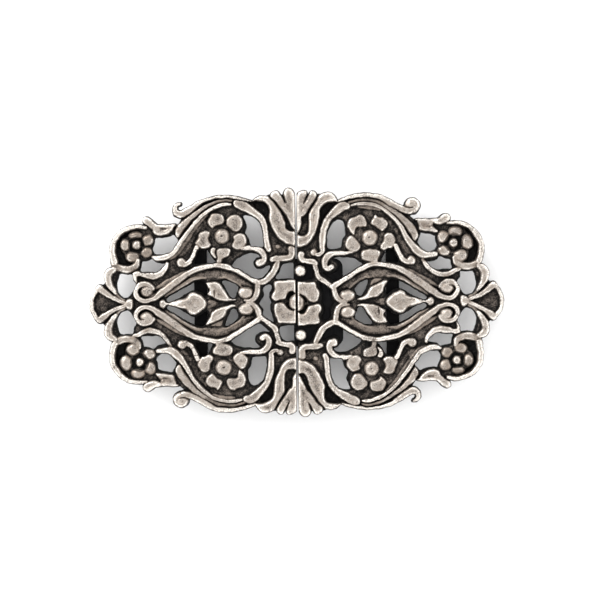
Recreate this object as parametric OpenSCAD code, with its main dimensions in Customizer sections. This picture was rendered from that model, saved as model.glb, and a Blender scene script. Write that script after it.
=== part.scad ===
// Pierced floral clasp in two matching halves, hooked together behind the centre flower.
// The clasp lies on its back: X runs along it, Y across it, and Z points up through the ornament.

/* [Clasp] */
// Length over the two tips
clasp_length = 70; // [66:1:74]
// Gap between the two halves at the seam
seam_gap = 0.3; // [0.2:0.05:0.5]
// Thickness of the ground between the scrolls
ground_thick = 1.2; // [1:0.1:1.6]
// Height of the tallest scroll above the ground
relief = 1.5; // [0.8:0.1:2]
// Gap left between neighbouring pieces
clearance = 0.08; // [0.05:0.01:0.1]

/* [Ribbon bars] */
// Distance from the seam to the middle of a bar
bar_reach = 16.4; // [16:0.1:17]
// Width of a bar's strip
bar_width = 2.2; // [1.8:0.1:2.4]
// Thickness of a bar's strip and legs
bar_thick = 1; // [0.8:0.1:1.2]
// Free width between a bar's legs, for the ribbon
bar_span = 26; // [24:0.5:27]
// Depth of the ribbon's gap between a bar and the casting
ribbon_gap = 3; // [2.8:0.1:4]

/* [Hook and catch] */
// Thickness of the hook plate
plate_thick = 0.8; // [0.6:0.1:0.9]
// Width of the tongue that reaches behind the left half
tongue_width = 4.6; // [4:0.1:4.8]
// Drop of the tongue below the plate, to pass under the catch
tongue_drop = 1.9; // [1.8:0.1:2]
// Width of the strip of the catch
catch_width = 1.2; // [1:0.1:1.3]
// Height of a stud's head above the hook plate
stud_height = 2; // [1.6:0.1:2.4]

/* [Hidden] */

// The ornament is laid out on a grid of small units, and half the clasp is HALF_UNITS of them long.
HALF_UNITS = 207.5;
unit = clasp_length / 2 / HALF_UNITS;
seam_edge = seam_gap / 2 / unit;

back_z = bar_thick + ribbon_gap;
ground_z = back_z + ground_thick;
overshoot = 0.5;

// A tenon holds a leg in its socket in a casting, and a peg holds the hook plate.
tenon_d = 0.8;
tenon_length = 0.7;
tenon_root = 0.1;
socket_d = tenon_d + 2 * clearance;
peg_d = 0.8;
stud_shank_d = 0.9;

// The crest of a scroll is this share of its width, and a dome narrows at its shoulder and top.
crest_share = 0.45;
shoulder_rise = 0.6;
shoulder_share = 0.88;
top_share = 0.5;

// The hook plate lies against the castings' back, and reaches from the seam behind the right half.
plate_right = 46.5 * unit;
plate_width = 88 * unit;
plate_corner = 1.5;
plate_top = back_z - clearance;
plate_bottom = plate_top - plate_thick;
plate_past_seam = 0.2;
plate_left = -seam_gap - plate_past_seam;

// The catch is a strap behind the left half, and the tongue passes under it and turns up.
tongue_top = plate_top - tongue_drop;
tongue_root = 0.4;
catch_reach = 2.2;
catch_thick = 0.7;
catch_bottom = tongue_top + clearance;
tongue_play = 2 * clearance;
catch_span = tongue_width + 2 * tongue_play;
catch_leg_y = (catch_span + catch_thick) / 2;
step_foot = -catch_reach + catch_width / 2 + clearance;
lip_thick = 0.7;
lip_over = 0.4;
lip_near = -catch_reach - catch_width / 2 - clearance;
lip_top = catch_bottom + catch_thick + lip_over;

// Scrolls that both quarters of a half share, each a rise and a list of sections.
// The rise is a share of the relief. A section's columns are its distance out from the seam,
// its distance from the middle line and its width, in units.
SHARED_SCROLLS = [
    // outer rim of the almond band
    [0.8, [[39, 19, 4], [45, 22.5, 5], [52, 27.5, 5], [60, 32.5, 5], [68, 36.3, 5], [77, 38, 5],
           [87, 37.3, 5], [97, 35.3, 5], [107, 31.7, 5], [117, 27, 6], [127, 21, 7], [135, 15, 6]]],
    // inner rim of the almond band, ending in the outer volute
    [0.8, [[55, 16, 4], [61, 20, 4], [68, 23.5, 4], [76, 25.5, 4], [85, 26, 4], [94, 25.5, 4],
           [102, 23.5, 4], [111, 20, 5], [121, 14.5, 5], [130, 9.5, 6], [138, 6.5, 6], [145, 4, 6],
           [152, 3, 5], [158, 5, 6], [162, 10, 6], [162, 15.5, 6], [157.5, 19, 6], [151, 19.5, 5],
           [146, 17, 4]]],
    // bracket at the seam
    [0.6, [[26, 44, 5], [18, 44, 5], [10, 44.5, 5], [5, 46.5, 6], [5, 52, 7]]],
    // middle strand of the arch, ending in a leaf
    [0.6, [[62, 102, 2], [72, 103, 3], [82, 101, 3], [92, 97.5, 4], [100, 92.7, 4], [107, 86.5, 5],
           [113, 80, 7], [118, 74, 8], [120, 67.5, 3]]],
    // small hook inside the arch
    [0.7, [[99.5, 55, 4], [102, 49, 4], [105, 43, 5], [109, 39, 5], [115, 40.5, 9]]],
    // stem below the small flower
    [0.7, [[131, 36, 4], [134.5, 30.5, 6], [140, 27.5, 6], [146, 27.3, 6], [151, 29.3, 6],
           [157, 31.3, 5], [162, 30, 5], [163, 24, 4]]],
    // rim of the cup round the small flower
    [0.7, [[156, 77, 5], [165, 77, 6], [174, 73.5, 6], [181, 67, 6], [185.5, 58.5, 6],
           [186, 50, 6], [183, 43, 6], [177, 37.5, 6], [169, 34.5, 6], [162, 35, 5], [157, 39, 4]]],
    // lobe, ray and rim of the tip
    [0.8, [[183, 34.5, 5], [188, 30.5, 8], [190, 23.5, 8], [187.5, 16.5, 7], [182, 10.5, 5],
           [175, 6, 4], [170, 3, 4]]],
    [0.8, [[198, 15.5, 7], [192, 12, 6], [185, 8, 5], [177, 3.5, 4], [171, 1, 4]]],
    [0.7, [[199, 15, 5], [203, 9, 4], [205.5, 1, 4]]],
    // petal of the centre flower
    [0.6, [[5, 12.5, 18], [12, 12.5, 19], [20, 12.5, 16]]],
];

// Scrolls of the quarter whose outer curl is a hook, in the same columns.
HOOKED_SCROLLS = [
    // fingers at the seam
    [0.9, [[7, 112, 7], [6.5, 106, 9], [6, 99, 9], [5, 90, 7], [4, 81, 5], [3, 72, 2]]],
    [0.9, [[20, 109, 7], [17.5, 103, 7], [12.5, 94, 7], [9, 86, 5], [6, 79, 3]]],
    [0.9, [[44, 103, 3], [35, 105, 5], [28, 102, 6], [23, 96, 8], [20, 88, 12], [17, 79, 13],
           [12, 71, 13], [7, 64, 10]]],
    // stem that runs up to a knob
    [0.8, [[58, 99, 7], [54, 97.5, 10], [49, 95, 8], [44, 92.5, 6], [38, 88, 6], [33, 82, 6],
           [30.5, 75, 6], [30, 67, 6], [29, 60, 5], [28, 54, 4]]],
    // curl inside the arch
    [0.8, [[52, 55, 4], [45, 55.5, 5], [39, 54, 6], [34, 50.5, 6], [32, 45.5, 6], [33.5, 41, 7],
           [37, 40.5, 7]]],
    // leg from the bracket to the almond's point
    [0.6, [[16, 41, 3], [20.5, 36, 5], [23.5, 29, 5], [29, 23.5, 5], [35, 19.5, 5], [40, 18, 5]]],
    // inner volute and leaf of the almond
    [0.7, [[40, 18, 4], [39.5, 12, 5], [42, 6.5, 5], [47, 3.5, 4]]],
    [0.8, [[63, 2.5, 3], [70, 5.5, 7], [77, 10.5, 11], [84, 15.5, 10], [90, 18.5, 5]]],
    // outer strand of the arch, ending in a hook
    [0.8, [[49, 102, 3], [57, 105, 3], [66, 106.5, 3], [76, 106.5, 4], [87, 104.5, 4],
           [97, 101, 5], [106, 95.5, 6], [114, 90, 8], [120, 92, 6], [121, 97, 5], [117, 99, 4]]],
    // main stem of the arch
    [0.9, [[63, 99, 3], [73, 99, 4], [83, 96.5, 4], [92, 92, 5], [99, 85.5, 5], [104, 78, 5],
           [109, 70.5, 5], [114, 62.5, 5], [119.5, 55, 5], [126, 49, 5], [134, 46, 5], [142, 46.5, 3]]],
    // leaf on the outer edge
    [0.7, [[121, 77, 4], [127, 75, 7], [133, 73.5, 8], [139, 74.5, 8], [144, 78, 8], [148, 82.5, 8]]],
];

// Scrolls of the quarter whose outer curl is a spiral, in the same columns.
SPIRAL_SCROLLS = [
    // fingers at the seam
    [0.9, [[7, 110.5, 7], [6.5, 105, 9], [6, 99, 8], [5, 90, 6], [4, 82, 4], [3.5, 73, 2]]],
    [0.9, [[19, 108, 7], [17, 102, 8], [15, 96, 7], [13, 91, 5], [11.5, 86, 3]]],
    [0.9, [[43, 104, 3], [35, 106, 4], [27, 104, 6], [22.5, 97, 7], [20, 89, 8], [17.5, 81, 9],
           [14, 73, 10], [9, 66, 11], [5, 60, 9]]],
    // stem that runs up to a knob
    [0.8, [[53, 97, 6], [49, 97.5, 9], [44, 96.5, 8], [38, 93, 7], [33, 87, 5], [30, 80, 5],
           [28.5, 72, 5], [27.5, 64, 6], [26, 57, 6], [24, 51, 4]]],
    // curl inside the arch
    [0.8, [[51, 52, 4], [44, 53.5, 5], [37, 52.5, 6], [31, 49, 6], [28, 43.5, 6], [28.5, 37.5, 6],
           [33, 35.5, 8]]],
    // leg from the bracket to the almond's point
    [0.6, [[16, 39, 4], [19.5, 33, 5], [22.5, 27, 5], [28, 22, 5], [34, 19, 5], [39, 17, 5]]],
    // inner volute and leaf of the almond
    [0.7, [[40, 18, 4], [40, 11, 5], [41.5, 4.5, 5], [46, 2, 4]]],
    [0.8, [[64, 1.5, 3], [71, 4.5, 6], [78, 9, 9], [84, 14, 9], [89, 18.5, 5]]],
    // outer strand of the arch, ending in a spiral
    [0.8, [[50, 103, 3], [58, 106.5, 4], [67, 107.5, 5], [77, 107.5, 6], [88, 105, 6],
           [98, 101, 6], [106, 95, 6], [113, 90.5, 7], [119, 91, 7], [122, 96, 6], [119, 101, 5],
           [113.5, 100.5, 5], [111.5, 96.5, 4]]],
    // main stem of the arch
    [0.9, [[56, 98, 3], [64, 98.5, 3], [74, 98, 4], [84, 95.5, 4], [93, 90.5, 5], [100, 84.5, 6],
           [105.5, 77, 6], [110, 69.5, 6], [115, 62.5, 6], [121, 55, 6], [128, 49.5, 6],
           [136, 47, 5], [143, 47.5, 3]]],
    // stem and band on the outer edge
    [0.7, [[121, 81, 3], [130, 81.5, 4], [138, 82, 4], [144, 84, 6], [149.5, 86, 8]]],
    [0.5, [[122, 76.5, 4], [129, 75.5, 6], [136, 74, 7], [142, 72, 5]]],
];

// Domes: distance out, distance from the middle line, half length, half width and rise.
SHARED_DOMES = [[1.5, 0, 7, 7, 0.8], [168, 1, 4, 4, 0.7]];
HOOKED_DOMES = [
    [151, 12.5, 6, 6, 0.8], [52, 10, 6.5, 6.5, 0.8], [18, 56, 2, 2, 0.3],
    // big flower
    [74.5, 67, 8, 8, 0.9], [61.5, 80, 8.3, 8.7, 0.6], [80, 82.5, 8.7, 7.5, 0.6],
    [92, 63, 8.5, 9, 0.6], [74.5, 49, 9.5, 6.3, 0.6], [57, 61.5, 8, 8.3, 0.6],
    // small flower
    [160, 59, 4.2, 4.2, 0.6], [148.5, 64.5, 5.5, 6.5, 0.5], [161, 68.5, 6, 3.5, 0.5],
    [171, 59.5, 4.5, 5, 0.5], [164.5, 47.5, 5.5, 4.5, 0.5], [150.5, 51, 5, 5, 0.5],
];
SPIRAL_DOMES = [
    [152, 13.5, 6, 6, 0.8], [51, 7, 7, 6.5, 0.8], [17.5, 50, 3, 3, 0.5],
    // big flower
    [74, 65, 8.5, 8.5, 0.9], [61, 79, 8, 8, 0.6], [83.5, 79.5, 8, 7.5, 0.6],
    [93.5, 62, 7, 8, 0.6], [75, 47.5, 9, 7, 0.6], [56.5, 60, 7, 9, 0.6],
    // small flower
    [159.5, 59.5, 4.5, 4.5, 0.6], [147.5, 65, 5.5, 6, 0.5], [158.5, 72, 6.5, 4.5, 0.5],
    [172, 60, 6, 6.5, 0.5], [163, 46, 7, 6, 0.5], [150, 51.5, 5.5, 5, 0.5],
];

// Scrolls and the bead on the middle line of a half: the spear leaf and its stem.
MIDDLE_SCROLLS = [
    [0.9, [[88, 0, 8], [94, 0, 15], [100, 0, 20], [105, 0, 21], [111, 0, 18], [117, 0, 12],
           [124, 0, 7], [131, 0, 3]]],
    [0.3, [[44, 0, 4], [66, 0, 5], [88, 0, 5]]],
];
MIDDLE_DOMES = [[134, 0, 4.5, 4, 0.6]];

// Openings: corners of each, as distance out and distance from the middle line.
SHARED_WINDOWS = [
    // below the small flower
    [[130, 40], [136, 42], [142, 45], [150.5, 44.5], [156, 39.5], [156.5, 34], [148, 31.3],
     [139, 32.3]],
    // beside the tip
    [[164.5, 28], [170.5, 30.5], [177.5, 30], [181, 23.5], [182, 16.5], [177.5, 9], [171.5, 6.2],
     [165, 9], [162, 18]],
    // beside the spear leaf
    [[88, 13], [91, 20], [94, 23.5], [103, 22.5], [113, 17], [123, 11], [130.5, 5.5], [129, 2],
     [119, 5], [107, 11], [99, 10.5], [92.5, 7]],
];
HOOKED_WINDOWS = [
    [[117.5, 64], [124, 70], [133, 66.5], [140.5, 66], [143, 58.5], [145, 54], [141, 49],
     [132, 48], [123, 54]],
    [[79.5, 41], [86, 49.5], [89.5, 54], [99, 54], [102, 48], [104.5, 40.5], [98, 38], [87, 38.5]],
    [[32, 55.5], [33.5, 68], [36.5, 80], [44, 88.5], [52, 90.5], [54, 85], [50.5, 78],
     [54, 70.5], [48, 65], [47, 57]],
    [[35, 46], [39, 50.5], [49, 50.5], [59, 46], [64.5, 40], [63, 36], [53, 31], [41, 23],
     [33, 24.5], [26, 33], [24, 38.5], [32, 36], [39.5, 37], [41, 41]],
    [[56.5, 15.5], [65, 20.5], [73.5, 24], [76, 20], [71, 10.5], [65, 5], [61, 5.5], [59.5, 10.5]],
];
SPIRAL_WINDOWS = [
    [[121, 62], [124, 69], [131, 69], [139.5, 68], [141, 60], [143, 54], [141, 50], [133, 49.5],
     [126, 53.5]],
    [[84, 41], [88, 48.5], [90.5, 52.5], [98.5, 53], [102, 48], [104.5, 40], [98, 38.3], [89, 39.5]],
    [[30.5, 56], [31.5, 68], [34, 78], [38.5, 84.5], [45, 85.5], [49.5, 82], [50, 76],
     [48.5, 66], [48.5, 57], [40, 55]],
    [[38, 45.5], [46, 47.5], [55, 46.5], [62, 42], [65, 38], [63, 34], [53, 28], [43, 22.5],
     [35, 21.5], [28, 26.5], [23.5, 34], [25, 37], [30, 32], [36.5, 32.5], [39, 37]],
    [[56.5, 15.5], [64, 20.5], [71, 24], [73.5, 21.5], [70, 12], [65.5, 6.2], [61, 6.5], [59.5, 11]],
];
// Opening on the middle line, between the petals and the almond. The hooked quarter's side is negative.
MIDDLE_WINDOW = [[24, -13], [25, -19], [29, -19.5], [36, -16], [36, -9], [39, -1], [38, 0], [35.5, 7],
                 [36.5, 12], [34, 17], [25, 21.5], [20.5, 20.5], [22, 13], [25.5, 6], [26, -7]];
// Notches at the seam, open towards the other half.
HOOKED_NOTCH = [[-5, 40.5], [9.5, 40.5], [16, 38], [19, 32], [22, 26], [20.5, 22.5], [-5, 22.5]];
SPIRAL_NOTCH = [[-5, 39.5], [9, 39.3], [15, 37], [18, 30], [19.5, 25.5], [17, 23.5], [-5, 23.5]];

// Studs on the hook plate: distance out, distance from the middle line and radius, in units.
UPPER_STUD = [4, 31.6, 6.2];
LOWER_STUD = [3.9, -32.8, 6];
// Pegs that hold the hook plate, on both sides of the middle line.
PEGS = [[12, 12], [20, 38.5]];

// How far the ground reaches from the middle line beside the edge leaf, in each quarter.
HOOKED_CREST = 75;
SPIRAL_CREST = 80;

// Edge of the ground, under the outer scrolls.
function ground_edge(crest) = [
    [0, 0], [0, 62], [4, 106], [19, 106], [35, 103.5], [50, 99], [64, 104.5], [80, 104.5],
    [98, 99], [113, 88], [121.5, crest], [135, crest], [150, 77], [166, 76.5], [181, 66],
    [184.5, 50], [180, 39], [187, 32], [190, 21], [199, 13], [205, 0],
];

// Point a share t of the way from b to c, on a smooth curve that also heeds a and d.
function blend(a, b, c, d, t) =
    b + t * ((c - a) / 2 + t * ((a * 2 - b * 5 + c * 4 - d) / 2 + t * (b * 3 - a - c * 3 + d) / 2));

// Closed curve with steps points from each corner to the next.
function closed_curve(corners, steps) = [
    for (i = [0:len(corners) - 1], s = [0:steps - 1])
        let (n = len(corners))
        blend(corners[(i + n - 1) % n], corners[i], corners[(i + 1) % n], corners[(i + 2) % n],
              s / steps)
];

function flat(section) = [section[0], section[1]];
function unit_vector(v) = v / norm(v);

// Direction of a scroll at section i.
function heading(rows, i) =
    unit_vector(flat(rows[min(i + 1, len(rows) - 1)]) - flat(rows[max(i - 1, 0)]));

// Outline of a scroll's section: upright sides, sloping shoulders and a narrow crest.
function profile(rows, i, crest_z) =
    let (along = heading(rows, i), side = [-along[1], along[0]] * rows[i][2] / 2)
    [for (corner = [[1, back_z], [1, ground_z], [crest_share, crest_z],
                    [-crest_share, crest_z], [-1, ground_z], [-1, back_z]])
        concat((flat(rows[i]) + side * corner[0]) * unit, [corner[1]])];

// Scroll of a casting: each stretch between two sections is convex.
module scroll(rise, rows) {
    crest_z = ground_z + rise * relief;
    for (i = [0:len(rows) - 2])
        hull()
            polyhedron(concat(profile(rows, i, crest_z), profile(rows, i + 1, crest_z)),
                       [[5, 4, 3, 2, 1, 0], [6, 7, 8, 9, 10, 11],
                        for (k = [0:5]) [k, (k + 1) % 6, 6 + (k + 1) % 6, 6 + k]]);
}

// Petal, button or bead: a rounded dome on the ground.
module dome(out, away, half_length, half_width, rise) {
    top = ground_thick + rise * relief;
    shoulder = ground_thick + shoulder_rise * rise * relief;
    translate([out * unit, away * unit, back_z])
        scale([half_length * unit, half_width * unit, 1])
            hull() {
                cylinder(r = 1, h = ground_thick, $fn = 8);
                cylinder(r = shoulder_share, h = shoulder, $fn = 8);
                cylinder(r = top_share, h = top, $fn = 8);
            }
}

// Upright slab whose outline is given in units.
module slab(points, bottom, height) {
    translate([0, 0, bottom])
        linear_extrude(height)
            scale(unit)
                polygon(points);
}

// Opening cut through a casting.
module window(corners, steps = 2) {
    slab(closed_curve(corners, steps), back_z - overshoot, ground_thick + relief + 2 * overshoot);
}

// Raised ornament of one quarter of a half, on its ground.
module quarter(scrolls, domes, crest) {
    slab(ground_edge(crest), back_z, ground_thick);
    for (row = concat(SHARED_SCROLLS, scrolls))
        scroll(row[0], row[1]);
    for (d = concat(SHARED_DOMES, domes))
        dome(d[0], d[1], d[2], d[3], d[4]);
}

module quarter_windows(windows, notch) {
    for (corners = concat(SHARED_WINDOWS, windows))
        window(corners);
    window(notch, 1);
}

// One pierced casting, reaching along +X from the seam, with its spiral quarter on the +Y side.
// Both halves are this one casting.
module pierced_casting() {
    difference() {
        union() {
            quarter(SPIRAL_SCROLLS, SPIRAL_DOMES, SPIRAL_CREST);
            mirror([0, 1, 0])
                quarter(HOOKED_SCROLLS, HOOKED_DOMES, HOOKED_CREST);
            for (row = MIDDLE_SCROLLS)
                scroll(row[0], row[1]);
            for (d = MIDDLE_DOMES)
                dome(d[0], d[1], d[2], d[3], d[4]);
        }
        quarter_windows(SPIRAL_WINDOWS, SPIRAL_NOTCH);
        mirror([0, 1, 0])
            quarter_windows(HOOKED_WINDOWS, HOOKED_NOTCH);
        window(MIDDLE_WINDOW, 1);
        translate([-clasp_length + seam_gap / 2, -clasp_length / 2, 0])
            cube([clasp_length, clasp_length, back_z + ground_thick + 2 * relief]);
        bar_sockets();
    }
}

// Blind sockets in a casting's back for the tenons of its ribbon bar.
module bar_sockets() {
    for (side = [-1, 1])
        translate([bar_reach, side * (bar_span + bar_thick) / 2, 0])
            socket();
}

module socket() {
    translate([0, 0, back_z - overshoot])
        cylinder(d = socket_d, h = overshoot + tenon_length + clearance, $fn = 12);
}

// Left half: the casting turned half round, with sockets for the catch.
module left_casting() {
    color("lightgray")
        difference() {
            rotate([0, 0, 180])
                pierced_casting();
            for (side = [-1, 1])
                translate([-catch_reach, side * catch_leg_y, 0])
                    socket();
        }
}

// Right half: the casting as it is, with pegs on its back for the hook plate.
module right_casting() {
    color("lightgray") {
        pierced_casting();
        for (peg = PEGS, side = [-1, 1])
            translate([peg[0] * unit, side * peg[1] * unit, plate_bottom])
                cylinder(d = peg_d, h = back_z - plate_bottom + overshoot, $fn = 12);
    }
}

// Strap with both ends turned up, and a tenon on each end.
module staple(width, thick, span, leg) {
    rotate([90, 0, 90])
        linear_extrude(width, center = true)
            difference() {
                translate([-span / 2 - thick, 0])
                    square([span + 2 * thick, leg]);
                translate([-span / 2, thick])
                    square([span, leg]);
            }
    for (side = [-1, 1])
        translate([0, side * (span + thick) / 2, leg - tenon_root])
            cylinder(d = tenon_d, h = tenon_length + tenon_root, $fn = 24);
}

module ribbon_bar() {
    staple(bar_width, bar_thick, bar_span, back_z - clearance);
}

module left_ribbon_bar() {
    color("dimgray")
        translate([-bar_reach, 0, 0])
            ribbon_bar();
}

module right_ribbon_bar() {
    color("dimgray")
        translate([bar_reach, 0, 0])
            ribbon_bar();
}

// Catch behind the left half, which the hook reaches under.
module catch_loop() {
    color("dimgray")
        translate([-catch_reach, 0, catch_bottom])
            staple(catch_width, catch_thick, catch_span, back_z - clearance - catch_bottom);
}

// Plate with two rounded corners, and a tongue that steps down under the catch and turns up.
module hook_plate() {
    color("dimgray") {
        difference() {
            translate([0, 0, plate_bottom])
                linear_extrude(plate_thick)
                    plate_outline();
            for (peg = PEGS, side = [-1, 1])
                translate([peg[0] * unit, side * peg[1] * unit, plate_bottom - overshoot])
                    cylinder(d = peg_d + 2 * clearance, h = plate_thick + 2 * overshoot, $fn = 24);
            for (stud = [UPPER_STUD, LOWER_STUD])
                translate([stud[0] * unit, stud[1] * unit, plate_bottom - overshoot])
                    cylinder(d = stud_shank_d + 2 * clearance, h = plate_thick + 2 * overshoot, $fn = 24);
        }
        rotate([90, 0, 0])
            linear_extrude(tongue_width, center = true)
                tongue_outline();
    }
}

module plate_outline() {
    translate([plate_left, -plate_width / 2])
        square([plate_right - plate_corner - plate_left, plate_width]);
    translate([plate_left, -plate_width / 2 + plate_corner])
        square([plate_right - plate_left, plate_width - 2 * plate_corner]);
    for (side = [-1, 1])
        translate([plate_right - plate_corner, side * (plate_width / 2 - plate_corner)])
            circle(plate_corner, $fn = 48);
}

// Side view of the tongue, from the plate over the step to the lip.
module tongue_outline() {
    polygon([
        [tongue_root, plate_top], [plate_left, plate_top], [step_foot, tongue_top],
        [lip_near, tongue_top], [lip_near, lip_top], [lip_near - lip_thick, lip_top],
        [lip_near - lip_thick, tongue_top - plate_thick], [step_foot, tongue_top - plate_thick],
        [plate_left, plate_bottom], [tongue_root, plate_bottom],
    ]);
}

// Stud on the hook plate: a domed head in the notch at the seam, and a shank through the plate.
module stud(place) {
    radius = place[2] * unit;
    neck = stud_height - radius;
    translate([place[0] * unit, place[1] * unit, plate_top + clearance])
        rotate_extrude($fn = 48)
            union() {
                square([radius, neck]);
                translate([0, neck])
                    intersection() {
                        circle(radius, $fn = 48);
                        square(radius);
                    }
                translate([0, -clearance - plate_thick])
                    square([stud_shank_d / 2, plate_thick + clearance]);
            }
}

module upper_stud() {
    color("silver")
        stud(UPPER_STUD);
}

module lower_stud() {
    color("silver")
        stud(LOWER_STUD);
}

left_casting();
right_casting();
left_ribbon_bar();
right_ribbon_bar();
hook_plate();
upper_stud();
lower_stud();
catch_loop();
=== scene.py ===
"""Pierced floral clasp in antiqued silver: two hooked halves, lying on their back on a white table."""

import logging
import math
from dataclasses import dataclass, field
from enum import Enum

import bpy
import numpy as np
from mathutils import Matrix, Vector
from mathutils.geometry import delaunay_2d_cdt


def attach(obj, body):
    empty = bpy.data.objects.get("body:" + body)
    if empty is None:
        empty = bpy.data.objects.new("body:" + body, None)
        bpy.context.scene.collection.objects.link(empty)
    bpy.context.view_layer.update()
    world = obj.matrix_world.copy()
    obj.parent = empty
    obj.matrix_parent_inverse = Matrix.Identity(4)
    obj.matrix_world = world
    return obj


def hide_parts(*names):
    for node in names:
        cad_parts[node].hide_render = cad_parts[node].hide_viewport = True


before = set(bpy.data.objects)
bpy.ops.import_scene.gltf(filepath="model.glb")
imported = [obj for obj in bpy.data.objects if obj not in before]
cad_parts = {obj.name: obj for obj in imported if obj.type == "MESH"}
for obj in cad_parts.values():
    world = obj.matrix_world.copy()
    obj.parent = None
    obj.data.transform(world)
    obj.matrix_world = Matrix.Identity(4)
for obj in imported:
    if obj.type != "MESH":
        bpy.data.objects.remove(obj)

LOG = logging.getLogger("clasp")
MM = 0.001
Array = np.ndarray
Rows = tuple[tuple[float, ...], ...]
Span = tuple[float, float]
Place = tuple[float, float, float]
Colour = tuple[float, float, float, float]
Part = tuple[slice, slice]


@dataclass(frozen=True)
class ClaspSizes:
    """Driving sizes of the clasp, in millimetres.

    Attributes:
        length: Length over the two tips.
        half_units: Length of half the clasp in units of the ornament's grid.
        seam_gap: Gap between the two halves at the seam.
        back_z: Height of a casting's back above the table.
        ground_thick: Thickness of the ground between the scrolls.
        relief: Height of the tallest scroll above the ground.
    """

    length: float = 70.0
    half_units: float = 207.5
    seam_gap: float = 0.3
    back_z: float = 4.0
    ground_thick: float = 1.2
    relief: float = 1.5

    @property
    def unit(self) -> float:
        """Millimetres in one unit of the ornament's grid."""
        return self.length / 2 / self.half_units


@dataclass(frozen=True)
class Scroll:
    """Raised strand of a casting.

    Attributes:
        rise: Height above the ground, as a share of the relief.
        sections: Distance out from the seam, distance from the middle line and width, in units.
        groove: Depth of the groove along its crest, as a share of its own height.
    """

    rise: float
    sections: Rows
    groove: float = 0.06


@dataclass(frozen=True)
class Patch:
    """Raised or sunk patch with a closed outline, such as a petal or a pocket of the ground.

    Attributes:
        rise: Height above the ground as a share of the relief; a pocket has a negative one.
        corners: Distance out and distance from the middle line of each corner, in units.
        margin: Width of the rounded edge, in units.
        dish: Depth of the hollow inside the edge, as a share of the height.
    """

    rise: float
    corners: Rows
    margin: float = 2.6
    dish: float = 0.12


@dataclass(frozen=True)
class Bead:
    """Oval dome, such as a flower's button or a scroll's eye.

    Attributes:
        out: Distance of the centre out from the seam, in units.
        away: Distance of the centre from the middle line, in units.
        half_length: Half its length along the clasp, in units.
        half_width: Half its width across the clasp, in units.
        rise: Height above the ground, as a share of the relief.
    """

    out: float
    away: float
    half_length: float
    half_width: float
    rise: float


@dataclass(frozen=True)
class Cut:
    """Groove or dimple cut into what is there.

    Attributes:
        depth: Depth, in millimetres.
        sections: Distance out, distance from the middle line and width, in units.
    """

    depth: float
    sections: Rows


@dataclass(frozen=True)
class Ornament:
    """Ornament of the quarter on one side of a half's middle line, or of what lies on that line.

    Attributes:
        scrolls: Raised strands.
        patches: Petals, leaves and pockets.
        beads: Buttons and eyes.
        cuts: Grooves and dimples.
        windows: Openings, as the corners of each.
        ground: Corners of the ground's edge, from the seam to the tip; empty if it adds no ground.
    """

    scrolls: tuple[Scroll, ...]
    patches: tuple[Patch, ...]
    beads: tuple[Bead, ...]
    cuts: tuple[Cut, ...]
    windows: tuple[Rows, ...]
    ground: Rows


SHARED_SCROLLS = (
    # rim of the almond, flowing into the outer volute
    Scroll(0.8, (
        (71, 36.5, 4.5), (78, 37.8, 4), (86, 37.2, 4.2), (94, 35.7, 4.6), (101, 33.8, 5), (108, 30.5, 5.8),
        (115, 26, 6.5), (122, 20.8, 7.2), (129, 15.6, 7.5), (135, 11.3, 7.2), (141, 7.3, 6.6),
        (147, 4.4, 5.2), (152, 3.3, 4.6), (157, 4.9, 4.6), (160.6, 8.9, 4.6), (160.8, 14, 4.6),
        (157.5, 18.4, 4.5), (152, 20, 4.5), (147, 18.6, 4.2), (143.6, 15, 3.4))),
    # low strand outside the rim, and the one inside it
    Scroll(0.4, (
        (108, 33, 2.6), (115, 29.8, 4), (122, 26, 4.6), (129, 22, 4.8), (135, 18.6, 4), (140, 15.8, 2))),
    Scroll(0.42, (
        (91, 25.4, 2), (98, 26, 3.2), (105, 23.8, 4), (112, 20, 4.2), (119, 15.3, 4), (125.5, 11, 3.2),
        (131, 7.5, 2))),
    # small hook inside the arch
    Scroll(0.75, (
        (99.5, 56, 4), (101.5, 51.5, 4.6), (103.8, 46, 4.8), (107, 41.8, 4.6), (111.5, 39.6, 5),
        (115, 41, 9.4))),
    # flat foot of the cup round the small flower
    Scroll(0.6, (
        (184, 42.5, 5), (181.5, 38.6, 6.5), (177, 35.9, 7.4), (171, 34.9, 7.4), (165, 35.8, 7.2),
        (160.3, 38.9, 6.4), (158.4, 43.5, 4))),
    # lobe and ray of the tip, and its rim
    Scroll(0.5, (
        (184.5, 31.5, 2.6), (186.3, 26, 3), (186, 20, 3), (183.5, 14, 3), (178.8, 8.4, 3), (173, 4, 3))),
    Scroll(0.85, (
        (182.5, 35, 5), (186.6, 32.8, 7.6), (189, 28.3, 8.6), (188.4, 22.6, 7.6), (185.6, 17, 5.4),
        (181.2, 11.3, 3.2))),
    Scroll(0.8, (
        (197, 15.8, 7.4), (192.3, 11.8, 6), (186.5, 8, 4.6), (180.3, 4.8, 3.8), (173.5, 1.9, 3.4))),
    Scroll(0.75, ((199.4, 15, 4.4), (202.2, 10.8, 4.2), (204.6, 5.5, 4.2), (205.6, 0, 4.2))),
)

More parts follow.
